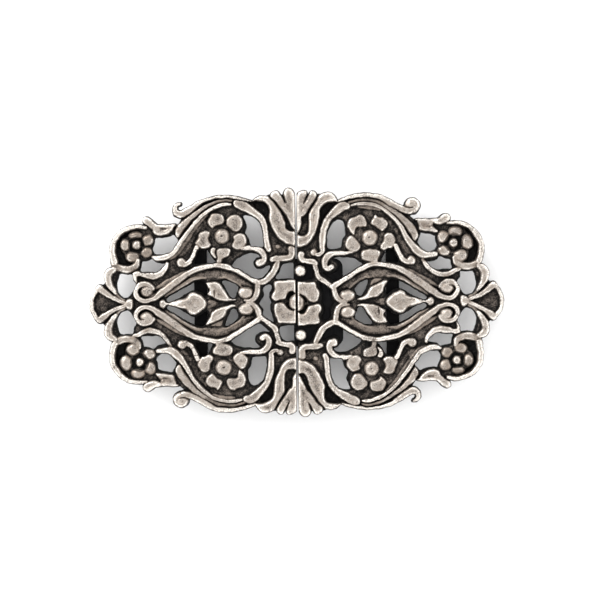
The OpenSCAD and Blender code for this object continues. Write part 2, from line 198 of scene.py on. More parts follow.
HOOKED_SCROLLS = (
    # stem below the small flower
    Scroll(0.75, (
        (129.5, 40, 3), (131.5, 35.5, 5.2), (135.5, 31.2, 7), (141, 28.6, 8), (147, 28.2, 7),
        (152.5, 29.4, 5.4), (158, 30.6, 5), (162, 29, 5), (162.6, 24.5, 4.2), (161.6, 21.5, 3.2))),
    # rim of the cup round the small flower
    Scroll(0.85, (
        (150.5, 76.8, 3.4), (158, 77.6, 4), (166, 76.4, 4.4), (173.5, 73.2, 4.8), (179, 68.6, 5.2),
        (182.8, 62, 5.4), (184.1, 54, 5.4), (183.4, 47, 5.4), (182, 41.5, 5.8))),
    # stem that runs up to a knob
    Scroll(0.85, (
        (58.5, 99.4, 8), (54, 97.7, 9.5), (49, 95, 8.4), (44, 92, 7), (38.5, 87.6, 6.6), (34, 82, 6.6),
        (31.6, 75, 6.6), (30.9, 67, 6.6), (29.8, 60, 6.2), (27.8, 53.5, 4.8)), 0.27),
    # curl inside the arch
    Scroll(0.8, (
        (54, 54.5, 3), (47.5, 55.3, 4.4), (41, 55, 5.2), (35.5, 52, 6), (32.3, 46.8, 6), (33, 41.8, 6.2),
        (37, 40.4, 7))),
    # bracket at the seam
    Scroll(0.7, (
        (5, 53.8, 7.4), (4.6, 48.5, 6.8), (7, 45, 6.4), (13, 44.2, 6.2), (19, 44.2, 6), (23.5, 43.4, 5))),
    # leg from the bracket to the almond's point
    Scroll(0.65, (
        (18.5, 40.5, 4.5), (20.7, 35.5, 6), (23.6, 29.5, 6.4), (28, 24.6, 6), (33.5, 21.3, 5.6),
        (39, 19.5, 5.5)), 0.14),
    # rim of the almond's point
    Scroll(0.8, (
        (38.5, 19.8, 5), (45, 24, 5), (52, 28.6, 5), (60, 33.1, 5), (67, 35.6, 4.8), (74, 37.4, 4.2))),
    Scroll(0.42, ((54.5, 15.8, 2), (60, 20.3, 2.4), (66, 23.7, 2.4), (72, 25.6, 2.2), (78, 25.6, 1.6))),
    # inner volute
    Scroll(0.75, (
        (39, 19.5, 5), (39.3, 14, 5.4), (40.2, 9, 5.2), (42.8, 4.6, 4.8), (47, 2.6, 3.6), (52, 3, 2.2))),
    # outer strand of the arch, ending in a hook
    Scroll(0.8, (
        (45, 102, 2), (51, 103.4, 2.6), (58, 105, 3), (66, 106.3, 3), (74, 106.6, 3), (82, 105.7, 3.2),
        (90, 103.6, 3.8), (97, 100.4, 4.8), (104, 95.7, 6), (110, 91.6, 6.8), (115.5, 89.2, 7.4),
        (120, 91, 6.4), (121, 95.5, 4.8), (119, 98.8, 3.8), (116, 99.5, 3))),
    # middle strand of the arch, ending in a leaf
    Scroll(0.7, (
        (64.5, 102.5, 1.8), (68, 102.9, 2.2), (72, 103, 2.4), (78, 102, 2.5), (84, 99.8, 2.7),
        (90, 96.6, 3), (96, 92.8, 3.6), (102, 88.6, 4.6), (107.5, 84, 5.6), (113, 78.4, 7.4),
        (117, 72.8, 8), (118.2, 67.5, 3))),
    # main stem of the arch: a broad low band with a bright ridge along its outer edge
    Scroll(0.45, (
        (90, 88.5, 3), (98, 80.5, 4.6), (103.5, 73.5, 5.4), (108.5, 66.6, 6.2), (113.5, 59.5, 6.6),
        (118.5, 53.3, 7), (124, 48.6, 7.4), (130, 46.2, 6), (136, 45.6, 5)), 0.1),
    Scroll(0.9, (
        (65.5, 98.7, 2), (69, 99, 2.8), (73, 98.8, 3), (79, 97, 3), (84.5, 94.4, 3), (90, 90.8, 3.1),
        (95, 86.8, 3.2), (100, 81.6, 3.3), (105, 75.4, 3.4), (110, 69, 3.6), (114.5, 62.5, 4),
        (119, 56, 4.6), (124, 50.6, 5.2), (130, 47, 5.4), (136.5, 45.6, 4.6), (143, 46.5, 3))),
    # arm of the edge leaf, and the ledge at its hollow
    Scroll(0.8, ((139, 74, 7), (142.6, 77.8, 7.4), (146.4, 81, 7.4), (150, 83.2, 7.6)), 0.1),
    Scroll(0.75, ((120.8, 78.4, 2), (126, 77.8, 2.2), (132, 78, 2.2))),
)

SPIRAL_SCROLLS = (
    # stem below the small flower
    Scroll(0.6, (
        (126.5, 42, 2.6), (130, 36.8, 4), (134.5, 31.8, 4.6), (140, 28.2, 5), (147, 26.6, 5.2),
        (153.5, 27.9, 4.8), (158.6, 30.6, 4.4), (163, 32, 3.4))),
    # rim of the cup round the small flower
    Scroll(0.85, (
        (151.5, 78.6, 2.4), (158, 78.9, 3.2), (166, 77.5, 4.4), (173.5, 73.9, 5.2), (179.6, 68.3, 5.6),
        (184, 61, 5.8), (185.4, 53, 5.8), (184.8, 46, 5.8), (182.6, 40, 6.2))),
    # stem that runs up to a knob and ends in a small eye
    Scroll(0.85, (
        (51, 96, 6.5), (47.5, 96.2, 9), (43.5, 94, 9.5), (39.5, 90.5, 8), (35.5, 86.6, 6.8),
        (31.8, 81.8, 6.4), (28.9, 75.5, 6.4), (27, 68.5, 6.4), (26, 61.5, 6.2), (25.8, 55.5, 5.2),
        (26.4, 51.2, 4), (24, 48.2, 3.2), (20.5, 47.8, 3)), 0.27),
    # curl inside the arch
    Scroll(0.8, (
        (56, 49.8, 2.2), (50, 49, 3), (43.5, 49, 3.8), (37, 48.8, 4.8), (31.7, 46.4, 6), (28.6, 42, 6),
        (28.5, 37, 5.6), (31.5, 33.8, 5), (35, 35.4, 5))),
    # bracket at the seam
    Scroll(0.7, (
        (5, 48, 7), (4.8, 45.2, 6.6), (7, 42.6, 6), (12, 41.4, 5.2), (17, 40.6, 5), (19.5, 39.5, 4))),
    # leg from the bracket to the almond's point
    Scroll(0.65, (
        (18, 39.5, 4), (19.4, 34.5, 4.2), (20.5, 29, 4.4), (23, 24.8, 5), (27.7, 21, 4.8),
        (32.6, 17.2, 4.8), (37, 14.8, 4.6)), 0.14),
    # rim of the almond's point
    Scroll(0.8, (
        (36, 15, 4.6), (43, 19.8, 5.2), (50, 24.4, 5.5), (57, 29, 5.5), (64, 33.2, 5.2), (70, 36, 4.7),
        (76, 37.6, 4))),
    Scroll(0.42, ((53, 14, 2), (58, 18.6, 2.4), (64, 22.6, 2.4), (70, 25.4, 2.2), (75, 25, 1.6))),
    # inner volute
    Scroll(0.75, ((36.8, 14.5, 5), (38.2, 9.5, 5.2), (40.5, 4.6, 5.2), (44.5, 1.2, 4.6), (49.5, 0.4, 3))),
    # outer strand of the arch, ending in a spiral
    Scroll(0.8, (
        (43, 101.5, 2.5), (48, 103, 3.2), (54, 104.8, 4), (61, 106.3, 4.4), (69, 107, 4.7), (77, 106.6, 5),
        (84, 104.8, 5.2), (90, 101.8, 5.5), (96, 98, 6), (102, 94.8, 6.4), (108, 92.2, 6.8),
        (114, 90.6, 7))),
    # middle strand of the arch, ending in a leaf
    Scroll(0.7, (
        (53, 99.6, 1.8), (60, 101.5, 2.2), (67, 102.2, 2.4), (74, 101.9, 2.5), (81, 100.3, 2.7),
        (87, 97.4, 3), (93, 93.6, 3.6), (99, 89.6, 4.4), (105.5, 84.4, 6), (111, 78.3, 7.6),
        (115.6, 72.3, 8.6), (118.5, 66.8, 7.4), (118.3, 62.5, 3)), 0.16),
    # main stem of the arch
    Scroll(0.45, ((63, 95, 2), (70, 94.6, 3.4), (77, 94, 3.4), (84, 91.8, 2.6))),
    Scroll(0.9, (
        (56, 96.8, 2), (62, 97.9, 2.6), (68, 98.2, 3), (75, 97.6, 3), (81, 96.1, 3), (86, 93.6, 3),
        (91, 90, 3.1), (96, 85.7, 3.3), (100.5, 80.8, 3.6), (104.5, 75.2, 3.8), (108, 69, 4),
        (111.5, 62.8, 4.6), (116, 56.2, 6), (121.3, 50.3, 8), (127, 47.2, 7.4), (133, 46.9, 5.4),
        (139.5, 47.3, 3.4)), 0.1),
    # stem on the outer edge
    Scroll(0.8, ((120, 82, 2.4), (128, 81.6, 2.8), (136, 81.4, 3), (141.5, 81.8, 3.6))),
)

HOOKED_PATCHES = (
    # low ground of the almond's band, of the arch's shoulder, at the spear leaf's root and between the
    # bracket and the fingers
    Patch(0.22, (
        (44, 16.5), (49, 20.5), (57, 26), (67, 30.8), (78, 33.2), (90, 32.8), (101, 29.8), (108, 26.3),
        (103, 25), (92, 25.5), (88, 22.5), (82, 22), (76, 23.5), (69, 23.5), (61, 19.5), (54, 17)), 5, 0),
    Patch(0.15, (
        (88, 81), (93, 78), (98, 71), (103, 61), (110, 50), (116, 47), (120, 47), (116, 53), (109, 63),
        (103, 72), (97, 80), (92, 84)), 3, 0),
    Patch(0.22, ((79, 1.5), (84, 3.5), (89, 3), (88, -1), (80, -1)), 3, 0),
    Patch(0.12, ((9, 49.5), (15, 50), (22, 51), (26, 60), (27, 72), (22, 66), (15, 58.5), (8, 57)), 3, 0),
    # big flower
    Patch(0.66, (
        (53.2, 79.5), (54.2, 84.5), (57.5, 87.8), (61.5, 88.4), (66, 87.6), (69.5, 84), (69.8, 79.5),
        (67, 75.5), (63, 72.2), (58, 72), (54.8, 75)), 3.2, 0.06),
    Patch(0.66, (
        (71.6, 84), (73.5, 88), (78, 89.9), (84, 89.8), (86.8, 86.5), (88.8, 81.8), (87.5, 78),
        (83.7, 74.8), (81, 77.2), (77, 78.5), (73, 80.3)), 3.2, 0.06),
    Patch(0.66, (
        (86.2, 71), (90, 72.7), (95, 71.7), (97.8, 69), (98.3, 65.5), (101, 60), (98, 57), (94.5, 54.8),
        (89, 54.9), (85.3, 57.8), (87, 61.5), (88, 65), (86.8, 68)), 3.2, 0.06),
    Patch(0.66, (
        (66, 50.6), (66.4, 53.8), (71, 55.2), (76.6, 54.8), (79.8, 52.4), (79.9, 48.4), (79.2, 45),
        (79.8, 40.4), (75.2, 40), (74.4, 44), (69.8, 46.2), (67, 48)), 2.6, 0.06),
    Patch(0.55, (
        (80.5, 55), (84.5, 55.5), (86.2, 51.5), (84, 47.2), (80.3, 44.8), (80.5, 47), (82, 50)), 1.8),
    Patch(0.66, (
        (49.2, 61.5), (50.6, 66.5), (54.5, 69.8), (59.5, 69.6), (63, 66.5), (62.3, 62.8), (64.6, 59),
        (64, 55.8), (60.5, 53.6), (56, 53.6), (51.3, 56.8)), 3.2, 0.06),
    # deep crescent between the small flower and its cup
    Patch(-0.46, (
        (161, 41), (168, 37), (175, 38.5), (180.3, 44), (182, 52), (180.8, 60), (177, 66), (171.5, 70.5),
        (165, 73), (157, 74.3), (158, 73), (165, 71.6), (169.5, 67), (174, 65), (176.5, 59.5), (175, 53.5),
        (171.8, 50), (170.6, 45.5), (166, 42)), 2, 0),
    # fingers at the seam
    Patch(0.85, (
        (0.2, 72), (0.2, 88), (0.4, 102), (2, 110.5), (6, 114.3), (10.5, 113.6), (12.6, 109.5),
        (11.6, 104.5), (10.8, 100), (13.4, 104), (15.4, 108.5), (17.8, 111.6), (21.5, 111.6), (25, 109),
        (24.6, 105.2), (20.3, 101), (16.4, 95.8), (12.6, 91), (9.4, 87.2), (7.6, 82.8), (5, 77.8),
        (2, 73.2)), 2.8, 0.14),
    Patch(0.9, (
        (0.2, 58.5), (0.2, 70.3), (6, 71.2), (10, 75), (11.6, 82), (14.2, 88.5), (17.8, 94.2),
        (21.6, 99.6), (25.8, 104.4), (30, 107), (35.5, 107.5), (40.5, 105.2), (44.2, 101.2), (40, 102.3),
        (35, 102), (30.5, 100.7), (27.2, 97), (26.2, 90.5), (27, 84.5), (24.6, 77.5), (21.2, 70.5),
        (17, 64.4), (12, 60.6), (6, 58.4)), 3, 0.16),
    # leaf on the outer edge
    Patch(0.75, (
        (121, 79.4), (123.4, 74.5), (128, 70.6), (133, 68.6), (138.5, 68.6), (142.4, 70.8), (143.8, 74.6),
        (142.4, 78.8), (138, 79.8), (132, 79.2), (126, 79.8)), 2.6),
    # leaf of the almond
    Patch(0.75, (
        (60.5, 3.4), (65.5, 4), (69, 8.2), (72.8, 13.8), (76.5, 18.8), (81.5, 21.3), (87, 21.2),
        (91, 19.8), (89.6, 17), (87.2, 14.3), (87, 11.5), (89, 8.6), (85, 6.4), (79.5, 3.6), (72, 2),
        (64, 1.9)), 3),
    # petal of the centre flower
    Patch(0.7, (
        (0.2, 9.5), (0.2, 21.8), (5, 22.8), (12, 22), (18, 22), (22.6, 20.6), (22.4, 16.3), (22, 12.3),
        (24.6, 7), (24.2, 3.4), (20.5, 1.4), (16, 2.6), (11.6, 4), (9.6, 7.5), (7.5, 10.6), (4, 11.6)), 3),
    # dark pocket beside the fingers
    Patch(-0.4, (
        (28.6, 85), (27.2, 89), (27.2, 94), (29.2, 98.4), (33, 101), (38.5, 101.6), (44, 100.8), (41, 95),
        (36, 90), (31.5, 85)), 2, 0),
)

SPIRAL_PATCHES = (
    # low ground of the almond's band, of the arch's shoulder, between the arch's strands, behind the
    # leaf and at the spear leaf's root
    Patch(0.22, (
        (42, 13), (47, 17.5), (55, 23.5), (64, 29), (74, 32.8), (86, 33), (98, 30.5), (108, 26.3),
        (103, 25), (92, 25), (84, 24), (76, 24.5), (70, 24.5), (62, 20.5), (54, 14.5)), 5, 0),
    Patch(0.15, (
        (88, 81), (93, 78), (98, 71), (102, 62), (108, 51), (114, 46), (118, 47), (112, 56), (106, 66),
        (101, 75), (96, 80), (91, 84)), 3, 0),
    Patch(0.3, (
        (94, 93), (99, 89.5), (103.5, 83), (107.5, 76), (111, 69), (107, 73), (102, 80), (97, 86)), 2, 0),
    Patch(0.3, ((74, 17), (75.5, 22), (80, 23.3), (86, 22.6), (83, 19.6), (78, 18)), 2, 0),
    Patch(0.22, ((80, 1), (84, 4), (89, 4), (88, 0), (80, -1)), 3, 0),
    # big flower
    Patch(0.66, (
        (51.6, 76.5), (52.4, 81), (55, 84), (59.5, 85.3), (63, 87.5), (67, 86.3), (70, 82.6), (71.2, 78.5),
        (70, 75.5), (65, 75), (60.8, 74.6), (59.4, 71), (57.6, 66.8), (55, 69), (53, 72.5)), 3.2, 0.06),
    Patch(0.66, (
        (74.8, 79.5), (76.8, 83.3), (79.8, 87), (82.5, 84.8), (87, 84.3), (90, 82), (92.3, 77.8),
        (90.5, 73.8), (86, 70.2), (82.5, 72.3), (79.5, 75.3), (76, 77)), 3.2, 0.06),
    Patch(0.66, (
        (87.4, 66), (90.5, 68.4), (95.3, 68.2), (98.4, 65.2), (100.2, 61.2), (98.4, 56.8), (94.6, 53),
        (89, 51.2), (85, 52.8), (84.4, 56.4), (86.6, 60.6)), 3.2, 0.06),
    Patch(0.66, (
        (64.4, 47.5), (66.5, 51.2), (72, 53), (79, 52.4), (84, 50), (84, 45.8), (81.7, 42.3), (81.6, 39),
        (77, 38.3), (73.3, 39.8), (69, 41.3), (65.4, 43.5)), 3.2, 0.06),
    Patch(0.66, (
        (49.4, 57.5), (50.6, 62.6), (53.5, 65.8), (57, 65.7), (60.5, 62.2), (64, 57.6), (64.3, 53.8),
        (61.5, 51), (57.5, 49.6), (53.3, 50.6), (50.2, 53.8)), 3.2, 0.06),
    # deep crescent between the flower and its cup
    Patch(-0.46, (
        (161.5, 38), (169, 36.3), (176, 38), (180, 43), (181.6, 51), (181.3, 58), (178.5, 65.5),
        (173.5, 70.5), (168, 73.3), (171, 69), (176, 66.5), (178.3, 62), (178, 56.5), (175.5, 53),
        (172.3, 51), (171.8, 47), (170.8, 42.5), (166.5, 39)), 2, 0),
    # fingers at the seam
    Patch(0.85, (
        (0.2, 69), (0.2, 88), (0.3, 101), (1.8, 108.5), (5, 111.4), (9.5, 112.2), (11.6, 109.5),
        (10.2, 105), (8, 99), (10.2, 102.5), (12.6, 107), (14.8, 111), (18, 111.8), (21, 109.3),
        (20.8, 105.8), (18.4, 101.8), (15.4, 97.4), (12.6, 93), (10.3, 89.2), (8, 86.6), (5.6, 85),
        (5, 79), (4, 74), (2, 70.5)), 2.8, 0.14),
    Patch(0.9, (
        (0.2, 56.5), (0.2, 66.8), (5, 66.4), (10, 67.6), (12.4, 72), (12.7, 80), (13, 87), (14.8, 92),
        (17.8, 97), (20.7, 101.5), (23, 106), (27, 109), (32, 110.2), (37, 109), (40.5, 104.8),
        (42, 100.8), (37.5, 101.3), (32, 100.4), (27, 97.6), (24, 93), (23.2, 86), (22.2, 78.5), (20, 72),
        (17, 65.5), (13.5, 60.3), (8, 56.6)), 3, 0.16),
    # band on the outer edge, and the knob at its end
    Patch(0.58, (
        (121.3, 81.8), (122.4, 76), (124.2, 71.4), (130, 70.2), (136, 69.4), (141, 68.8), (142.4, 70.4),
        (139.8, 73.4), (137.4, 76.6), (138.4, 79.8), (138, 81.6), (131, 81.8)), 3, 0.2),
    Patch(0.85, (
        (136.4, 80.6), (141, 82.6), (144.6, 85.4), (148.6, 87.7), (152.4, 87.2), (155, 83.8),
        (153.4, 80.4), (149, 78.2), (144, 76.9), (139.6, 77.8)), 2.8, 0.16),
    # leaf of the almond
    Patch(0.75, (
        (61, 2.8), (66, 4.8), (70, 7.4), (72, 12), (75.5, 15.8), (81.5, 18.2), (87, 20.8), (90.8, 21.4),
        (89, 17.6), (87, 14), (85.6, 9.6), (80.8, 5.8), (73, 3.6), (65, 1.6)), 3),
    # petal of the centre flower
    Patch(0.7, (
        (0.2, 8.5), (0.2, 19.8), (5, 20.9), (12, 20.5), (18.6, 20), (20, 15.6), (22, 12), (23, 8),
        (22, 2.8), (19, 0.2), (15, 0.2), (11.5, 2.2), (8.5, 5.8), (5, 7.8)), 3),
    # dark pocket beside the fingers
    Patch(-0.4, (
        (36.5, 100), (33, 99.8), (28, 97.3), (25, 94.2), (24, 90), (24.2, 85), (25.5, 79), (28, 81),
        (31, 86.5), (35, 91.5), (38, 94.5), (38.4, 98)), 2, 0),
)

# button of the centre flower, which the seam halves
SHARED_BEADS = (Bead(0, 1, 7.5, 8, 0.8),)
HOOKED_BEADS = (
    # domes under the two flowers
    Bead(74.3, 67, 16, 13.5, 0.13), Bead(160, 58.6, 10.5, 10.5, 0.14),
    # eye of the outer volute, ball of the inner one, bead at the bracket
    Bead(149.8, 12.9, 6.6, 6, 0.85), Bead(50.8, 10.3, 8, 6, 0.85), Bead(18.3, 56.3, 2.8, 2.2, 0.4),
    # buttons of the two flowers
    Bead(74.3, 67, 7.8, 7.8, 0.9), Bead(160, 59, 4.4, 4.4, 0.62),
    # petals of the small flower
    Bead(148.5, 63.8, 6.2, 6, 0.55), Bead(161, 69, 6.8, 4.4, 0.5), Bead(171.2, 59.2, 5.2, 6.2, 0.55),
    Bead(163.9, 47.4, 6.8, 5.6, 0.55), Bead(149.8, 51.4, 6, 5.4, 0.5),
)
SPIRAL_BEADS = (
    # domes under the two flowers
    Bead(73.8, 64.3, 16, 13.5, 0.13), Bead(159.5, 58.5, 10.5, 10.5, 0.14),
    # eye of the outer volute, ball of the inner one, bead at the bracket
    Bead(150.5, 14.3, 7.5, 6.6, 0.85), Bead(50.5, 6.2, 8, 6.2, 0.85), Bead(17.5, 50, 3.7, 3.5, 0.55),
    # buttons of the two flowers, and the eye of the arch's spiral
    Bead(73.8, 64.3, 8.4, 8.3, 0.9), Bead(157.6, 58.4, 4.5, 4.5, 0.62), Bead(116.8, 96, 8.2, 8, 0.8),
    # petals of the small flower
    Bead(147.2, 64.6, 6, 6.6, 0.62), Bead(159.4, 69.6, 7.6, 6, 0.62), Bead(171.4, 59.2, 6.4, 7.8, 0.66),
    Bead(164.3, 45.6, 7, 6.6, 0.66), Bead(148.2, 50.6, 6.8, 5.4, 0.6),
)

HOOKED_CUTS = (
    # hollow round the small flower's button
    Cut(0.42, (
        (166.6, 59, 5), (164.7, 63.7, 5), (160, 65.6, 5), (155.3, 63.7, 5), (153.4, 59, 5),
        (155.3, 54.3, 5), (160, 52.4, 5), (164.7, 54.3, 5), (166.6, 59, 5))),
    # pin marks in the buttons, and dimples in the leaves
    Cut(0.3, ((74.2, 67, 2.4), (74.8, 67, 2.4))),
    Cut(0.25, ((130.5, 75, 3), (133, 75, 4), (135.5, 75.2, 3))),
    Cut(0.3, ((81.8, 6, 2), (82, 9, 3.2), (82.5, 12.5, 2))),
    # crescent in the eye of the outer volute
    Cut(0.4, (
        (140.5, 11.5, 2), (144.5, 7.8, 3.2), (150.5, 6, 3), (156, 7.8, 3), (157, 12, 2.4),
        (155, 15, 1.6))),
    # hollow beside the half bead
    Cut(0.4, ((3.5, 10.6, 2), (7.2, 7.8, 2.6), (9.4, 3.2, 3))),
    # foot of the inner ball
    Cut(0.25, ((44.5, 13, 1.5), (43.3, 9.5, 2), (45, 6.3, 1.6))),
)
SPIRAL_CUTS = (
    # hollow round the small flower's button
    Cut(0.5, (
        (164.6, 58.4, 6.4), (162.5, 63.3, 6.4), (157.6, 65.4, 6.4), (152.7, 63.3, 6.4), (150.6, 58.4, 6.4),
        (152.7, 53.5, 6.4), (157.6, 51.4, 6.4), (162.5, 53.5, 6.4), (164.6, 58.4, 6.4))),
    Cut(0.35, ((73, 64.3, 2.4), (73.6, 64.3, 2.4))),
    Cut(0.2, ((130.5, 75, 3), (134, 75, 3.6), (137, 76.5, 2.4))),
    Cut(0.45, ((141, 13, 2), (143.6, 9.6, 3.2), (149, 7, 3.2), (154.5, 7, 2.6), (157, 8.6, 1.6))),
    Cut(0.35, ((153, 16, 1.6), (156.6, 15, 2.4), (158.6, 12.4, 1.8))),
    Cut(0.4, ((3.5, 8, 2), (7, 5, 2.6), (9.4, 0.8, 3))),
    Cut(0.25, ((44, 9.5, 1.5), (43.6, 6, 2), (46, 3, 1.6))),
    # slit and turn of the spiral's eye
    Cut(0.35, ((110, 95.4, 2.2), (113.5, 94, 2.8), (116.8, 94, 2.2))),
    Cut(0.14, ((116.8, 94, 2), (120.3, 96.4, 2.4), (119, 100, 2.4), (114.6, 100.4, 2))),
)

MIDDLE_SCROLLS = (
    Scroll(0.7, ((112, 0, 9.6), (116, 0, 7.4), (121, 0, 5.4), (126, 0, 4), (131, 0, 2.6))),
)
MIDDLE_PATCHES = (
    # spear leaf
    Patch(0.85, (
        (89.4, 0), (91, 3.4), (94.5, 6.8), (98.8, 9.8), (103, 11.3), (106.6, 10.4), (109, 7.6),
        (111.4, 5.6), (116, 4.4), (121, 2.8), (124, 0), (121, -2.8), (116, -4.4), (111.4, -5.6),
        (109, -7.6), (106.6, -10.4), (103, -11.3), (98.8, -9.8), (94.5, -6.8), (91, -3.4)), 4.5, 0.04),
    # boss at the tip's root
    Patch(0.75, (
        (163.8, 0.4), (164.8, 5), (168.6, 5.2), (172.8, 1.8), (172.8, -1.2), (168.6, -4.8),
        (164.8, -4.4)), 3, 0),
)
MIDDLE_BEADS = (Bead(134, 0.2, 3.6, 4.4, 0.65),)
MIDDLE_CUTS = (Cut(0.25, ((112.5, 1.6, 3), (115.5, 1.8, 4), (118.5, 1.4, 2.6))),)

SHARED_WINDOWS = (
    # below the small flower
    ((130.3, 40), (136, 41.8), (140, 43), (144, 46.2), (150, 44.3), (154.9, 43.4), (156.6, 38), (158, 34),
     (155.5, 31.6), (148, 31.2), (141, 30.8), (135, 34)),
    # beside the tip
    ((164, 30.6), (170, 31), (177.3, 31), (180, 26), (181.5, 19.5), (180.4, 12.5), (176.5, 7.4),
     (171.4, 5.4), (167, 7), (163.3, 12.5), (160.3, 19.5), (162.8, 25)),
    # beside the spear leaf
    ((88, 14), (90.5, 20.5), (94, 23.8), (103, 22.3), (113, 17), (122, 11.6), (130.8, 6.3), (131.3, 2.5),
     (128, 0.6), (119, 3.6), (110, 9), (103, 12.2), (97, 10.2), (91.5, 6.3), (88.5, 8.5)),
)
HOOKED_WINDOWS = SHARED_WINDOWS + (
    # between the arch, the edge leaf and the small flower's cup
    ((117.3, 63.5), (120.5, 68.5), (123.5, 70.2), (128, 68.4), (134, 67.2), (141, 67), (142.8, 62),
     (144.8, 57), (144.8, 53), (142.5, 49.4), (137, 48.5), (130, 49.2), (124, 52.8), (120.3, 58.4)),
    # between the big flower and the small hook
    ((79.5, 41), (83.5, 46), (87, 52), (90, 54.3), (98, 54.3), (101, 49), (104, 42), (102, 38.4),
     (94, 38.8), (86, 39.2)),
    # between the stem to the knob and the big flower
    ((32, 56), (32.3, 65), (33.6, 75.5), (36.8, 82.5), (42.5, 87.3), (50, 89.3), (54, 87), (51.8, 80.5),
     (50.4, 76.8), (52.4, 71.5), (51.4, 68.6), (48.3, 64.5), (47.3, 59.5), (45, 56.2), (38, 55.6)),
    # between the curl and the almond's rim
    ((35.6, 45.5), (38, 49.6), (44, 51.4), (52, 49.5), (60, 45), (65.4, 39.6), (64.5, 36), (56, 32.2),
     (48, 27), (41, 23.2), (36, 23.6), (30, 27.6), (26.4, 32.4), (25, 38), (30.5, 37.6), (35.5, 35.5),
     (40, 36.3), (41.8, 40.5), (39.5, 44)),
    # inside the almond's point
    ((57, 16.5), (59, 18.8), (65.5, 22.3), (71, 23.8), (75.5, 23.3), (76.2, 20), (73, 15.2), (70.2, 10),
     (67.5, 5.4), (64.5, 3.7), (60.5, 4.3), (59.3, 9), (57.6, 13)),
    # notch at the seam
    ((-8, 40.6), (3, 41), (9, 40.6), (14, 39.4), (17, 35.5), (18.6, 30.5), (21.6, 26.6), (21.6, 23.6),
     (18, 22.6), (8, 23.3), (-8, 23.2)),
)
SPIRAL_WINDOWS = SHARED_WINDOWS + (
    # between the arch, the edge leaf and the small flower's cup
    ((121, 58.5), (121.5, 62.8), (123.5, 67.3), (125, 69.8), (130.5, 69.3), (136.5, 68.2), (140.4, 66),
     (140.9, 60.5), (142.5, 56), (140.6, 52), (136.5, 49.6), (130.5, 49.6), (125, 53)),
    # between the big flower and the small hook
    ((84, 41), (87, 47), (89, 52), (93, 53.6), (97.5, 53.2), (101, 48), (104, 41), (101, 38.3), (93, 38.8),
     (86, 39)),
    # between the stem to the knob and the big flower
    ((29.6, 56.5), (30, 65), (31.5, 71.5), (34.2, 77.6), (38.2, 82), (43.5, 84), (48, 82), (50.2, 77),
     (50.6, 70.5), (50.3, 66.5), (47.4, 62), (46.8, 57.5), (45, 53.6), (38, 52.3), (32, 52.8)),
    # between the curl and the almond's rim
    ((35.6, 44), (40, 46.2), (46, 46.4), (53, 45.8), (59.5, 44.3), (65, 41), (67.5, 37.8), (61, 33),
     (52, 27.5), (44, 22.6), (38, 19.8), (33, 22.5), (27.5, 27), (25.5, 31), (31, 30), (36.5, 30.5),
     (40.4, 33.5), (40.9, 38.5), (37.5, 42)),
    # inside the almond's point
    ((57.2, 13.5), (58.6, 16), (62, 19.6), (67.5, 23), (72, 24), (73, 21), (71.3, 15.5), (69.3, 10.5),
     (66.8, 6.2), (63.5, 4.7), (60, 6), (58.2, 9.5)),
    # notch at the seam
    ((-8, 39.8), (3, 39.6), (9, 39.8), (14.5, 38), (17.8, 33.5), (18.6, 28), (17.4, 23.6), (12, 22.2),
     (4, 21.6), (-8, 21.6)),
)
# Opening on the middle line, between the petals and the almond; the hooked quarter's side is negative.
MIDDLE_WINDOW = ((24.2, -14), (24.6, -17.8), (28, -19.5), (32.8, -18), (35, -14), (34.4, -8), (37.2, -2.8),
                 (38.5, 0), (36.8, 3.4), (35.3, 7), (35.4, 12.2), (31, 16.3), (27.5, 18.6), (22.5, 20.2),
                 (22.4, 17.5), (23.3, 13), (25.2, 8), (25.2, 3), (24.3, 0), (25.8, -4), (26.2, -9))


def ground_edge(crest: float, shoulder: float) -> Rows:
    """Edge of the ground under the outer scrolls.

    Args:
        crest: How far the ground reaches from the middle line beside the edge leaf, in units.
        shoulder: The same between the edge leaf and the cup.

    Returns:
        The corners, from the seam to the tip.
    """
    return ((-4, -4), (-4, 62), (1, 104), (10, 109), (27, 109), (36, 104.5), (45, 101.5), (54, 103),
            (64, 105.5), (80, 105), (98, 99), (113, 88), (121.5, crest), (136, crest), (150, shoulder),
            (157, shoulder), (168, 75.5), (181, 66), (184.5, 50), (180, 39), (187, 33), (191.5, 22.5),
            (199, 15), (205, 0), (205, -4))


SPIRAL_QUARTER = Ornament(SHARED_SCROLLS + SPIRAL_SCROLLS, SPIRAL_PATCHES, SHARED_BEADS + SPIRAL_BEADS,
                          SPIRAL_CUTS, SPIRAL_WINDOWS, ground_edge(80, 79.5))
HOOKED_QUARTER = Ornament(SHARED_SCROLLS + HOOKED_SCROLLS, HOOKED_PATCHES, SHARED_BEADS + HOOKED_BEADS,
                          HOOKED_CUTS, HOOKED_WINDOWS, ground_edge(76, 77))
MIDDLE_LINE = Ornament(MIDDLE_SCROLLS, MIDDLE_PATCHES, MIDDLE_BEADS, MIDDLE_CUTS, (MIDDLE_WINDOW,), ())


class Side(Enum):
    """Where an ornament lies in the right half: above its middle line, below it or on it."""

    UPPER = "upper"
    LOWER = "lower"
    MIDDLE = "middle"


def smoothstep(low: float, high: float, values: Array) -> Array:
    """Soft step: 0 at low, 1 at high, and 3t^2 - 2t^3 of the share t between them.

    Args:
        low: Where the step starts.
        high: Where it ends; it may be below low, for a falling step.
        values: Values to step.

    Returns:
        The stepped values, from 0 to 1.
    """
    share = np.clip((values - low) / (high - low), 0, 1)
    return share * share * (3 - 2 * share)


def soft_max(a: Array, b: Array, width: float) -> Array:
    """Larger of two values, with the corner between them filled by a parabola of the given width.

    Args:
        a: First values.
        b: Second values.
        width: Difference within which the corner is rounded.

    Returns:
        The rounded maximum.
    """
    near = np.clip(width - np.abs(a - b), 0, None) / width
    return np.maximum(a, b) + near * near * width / 4


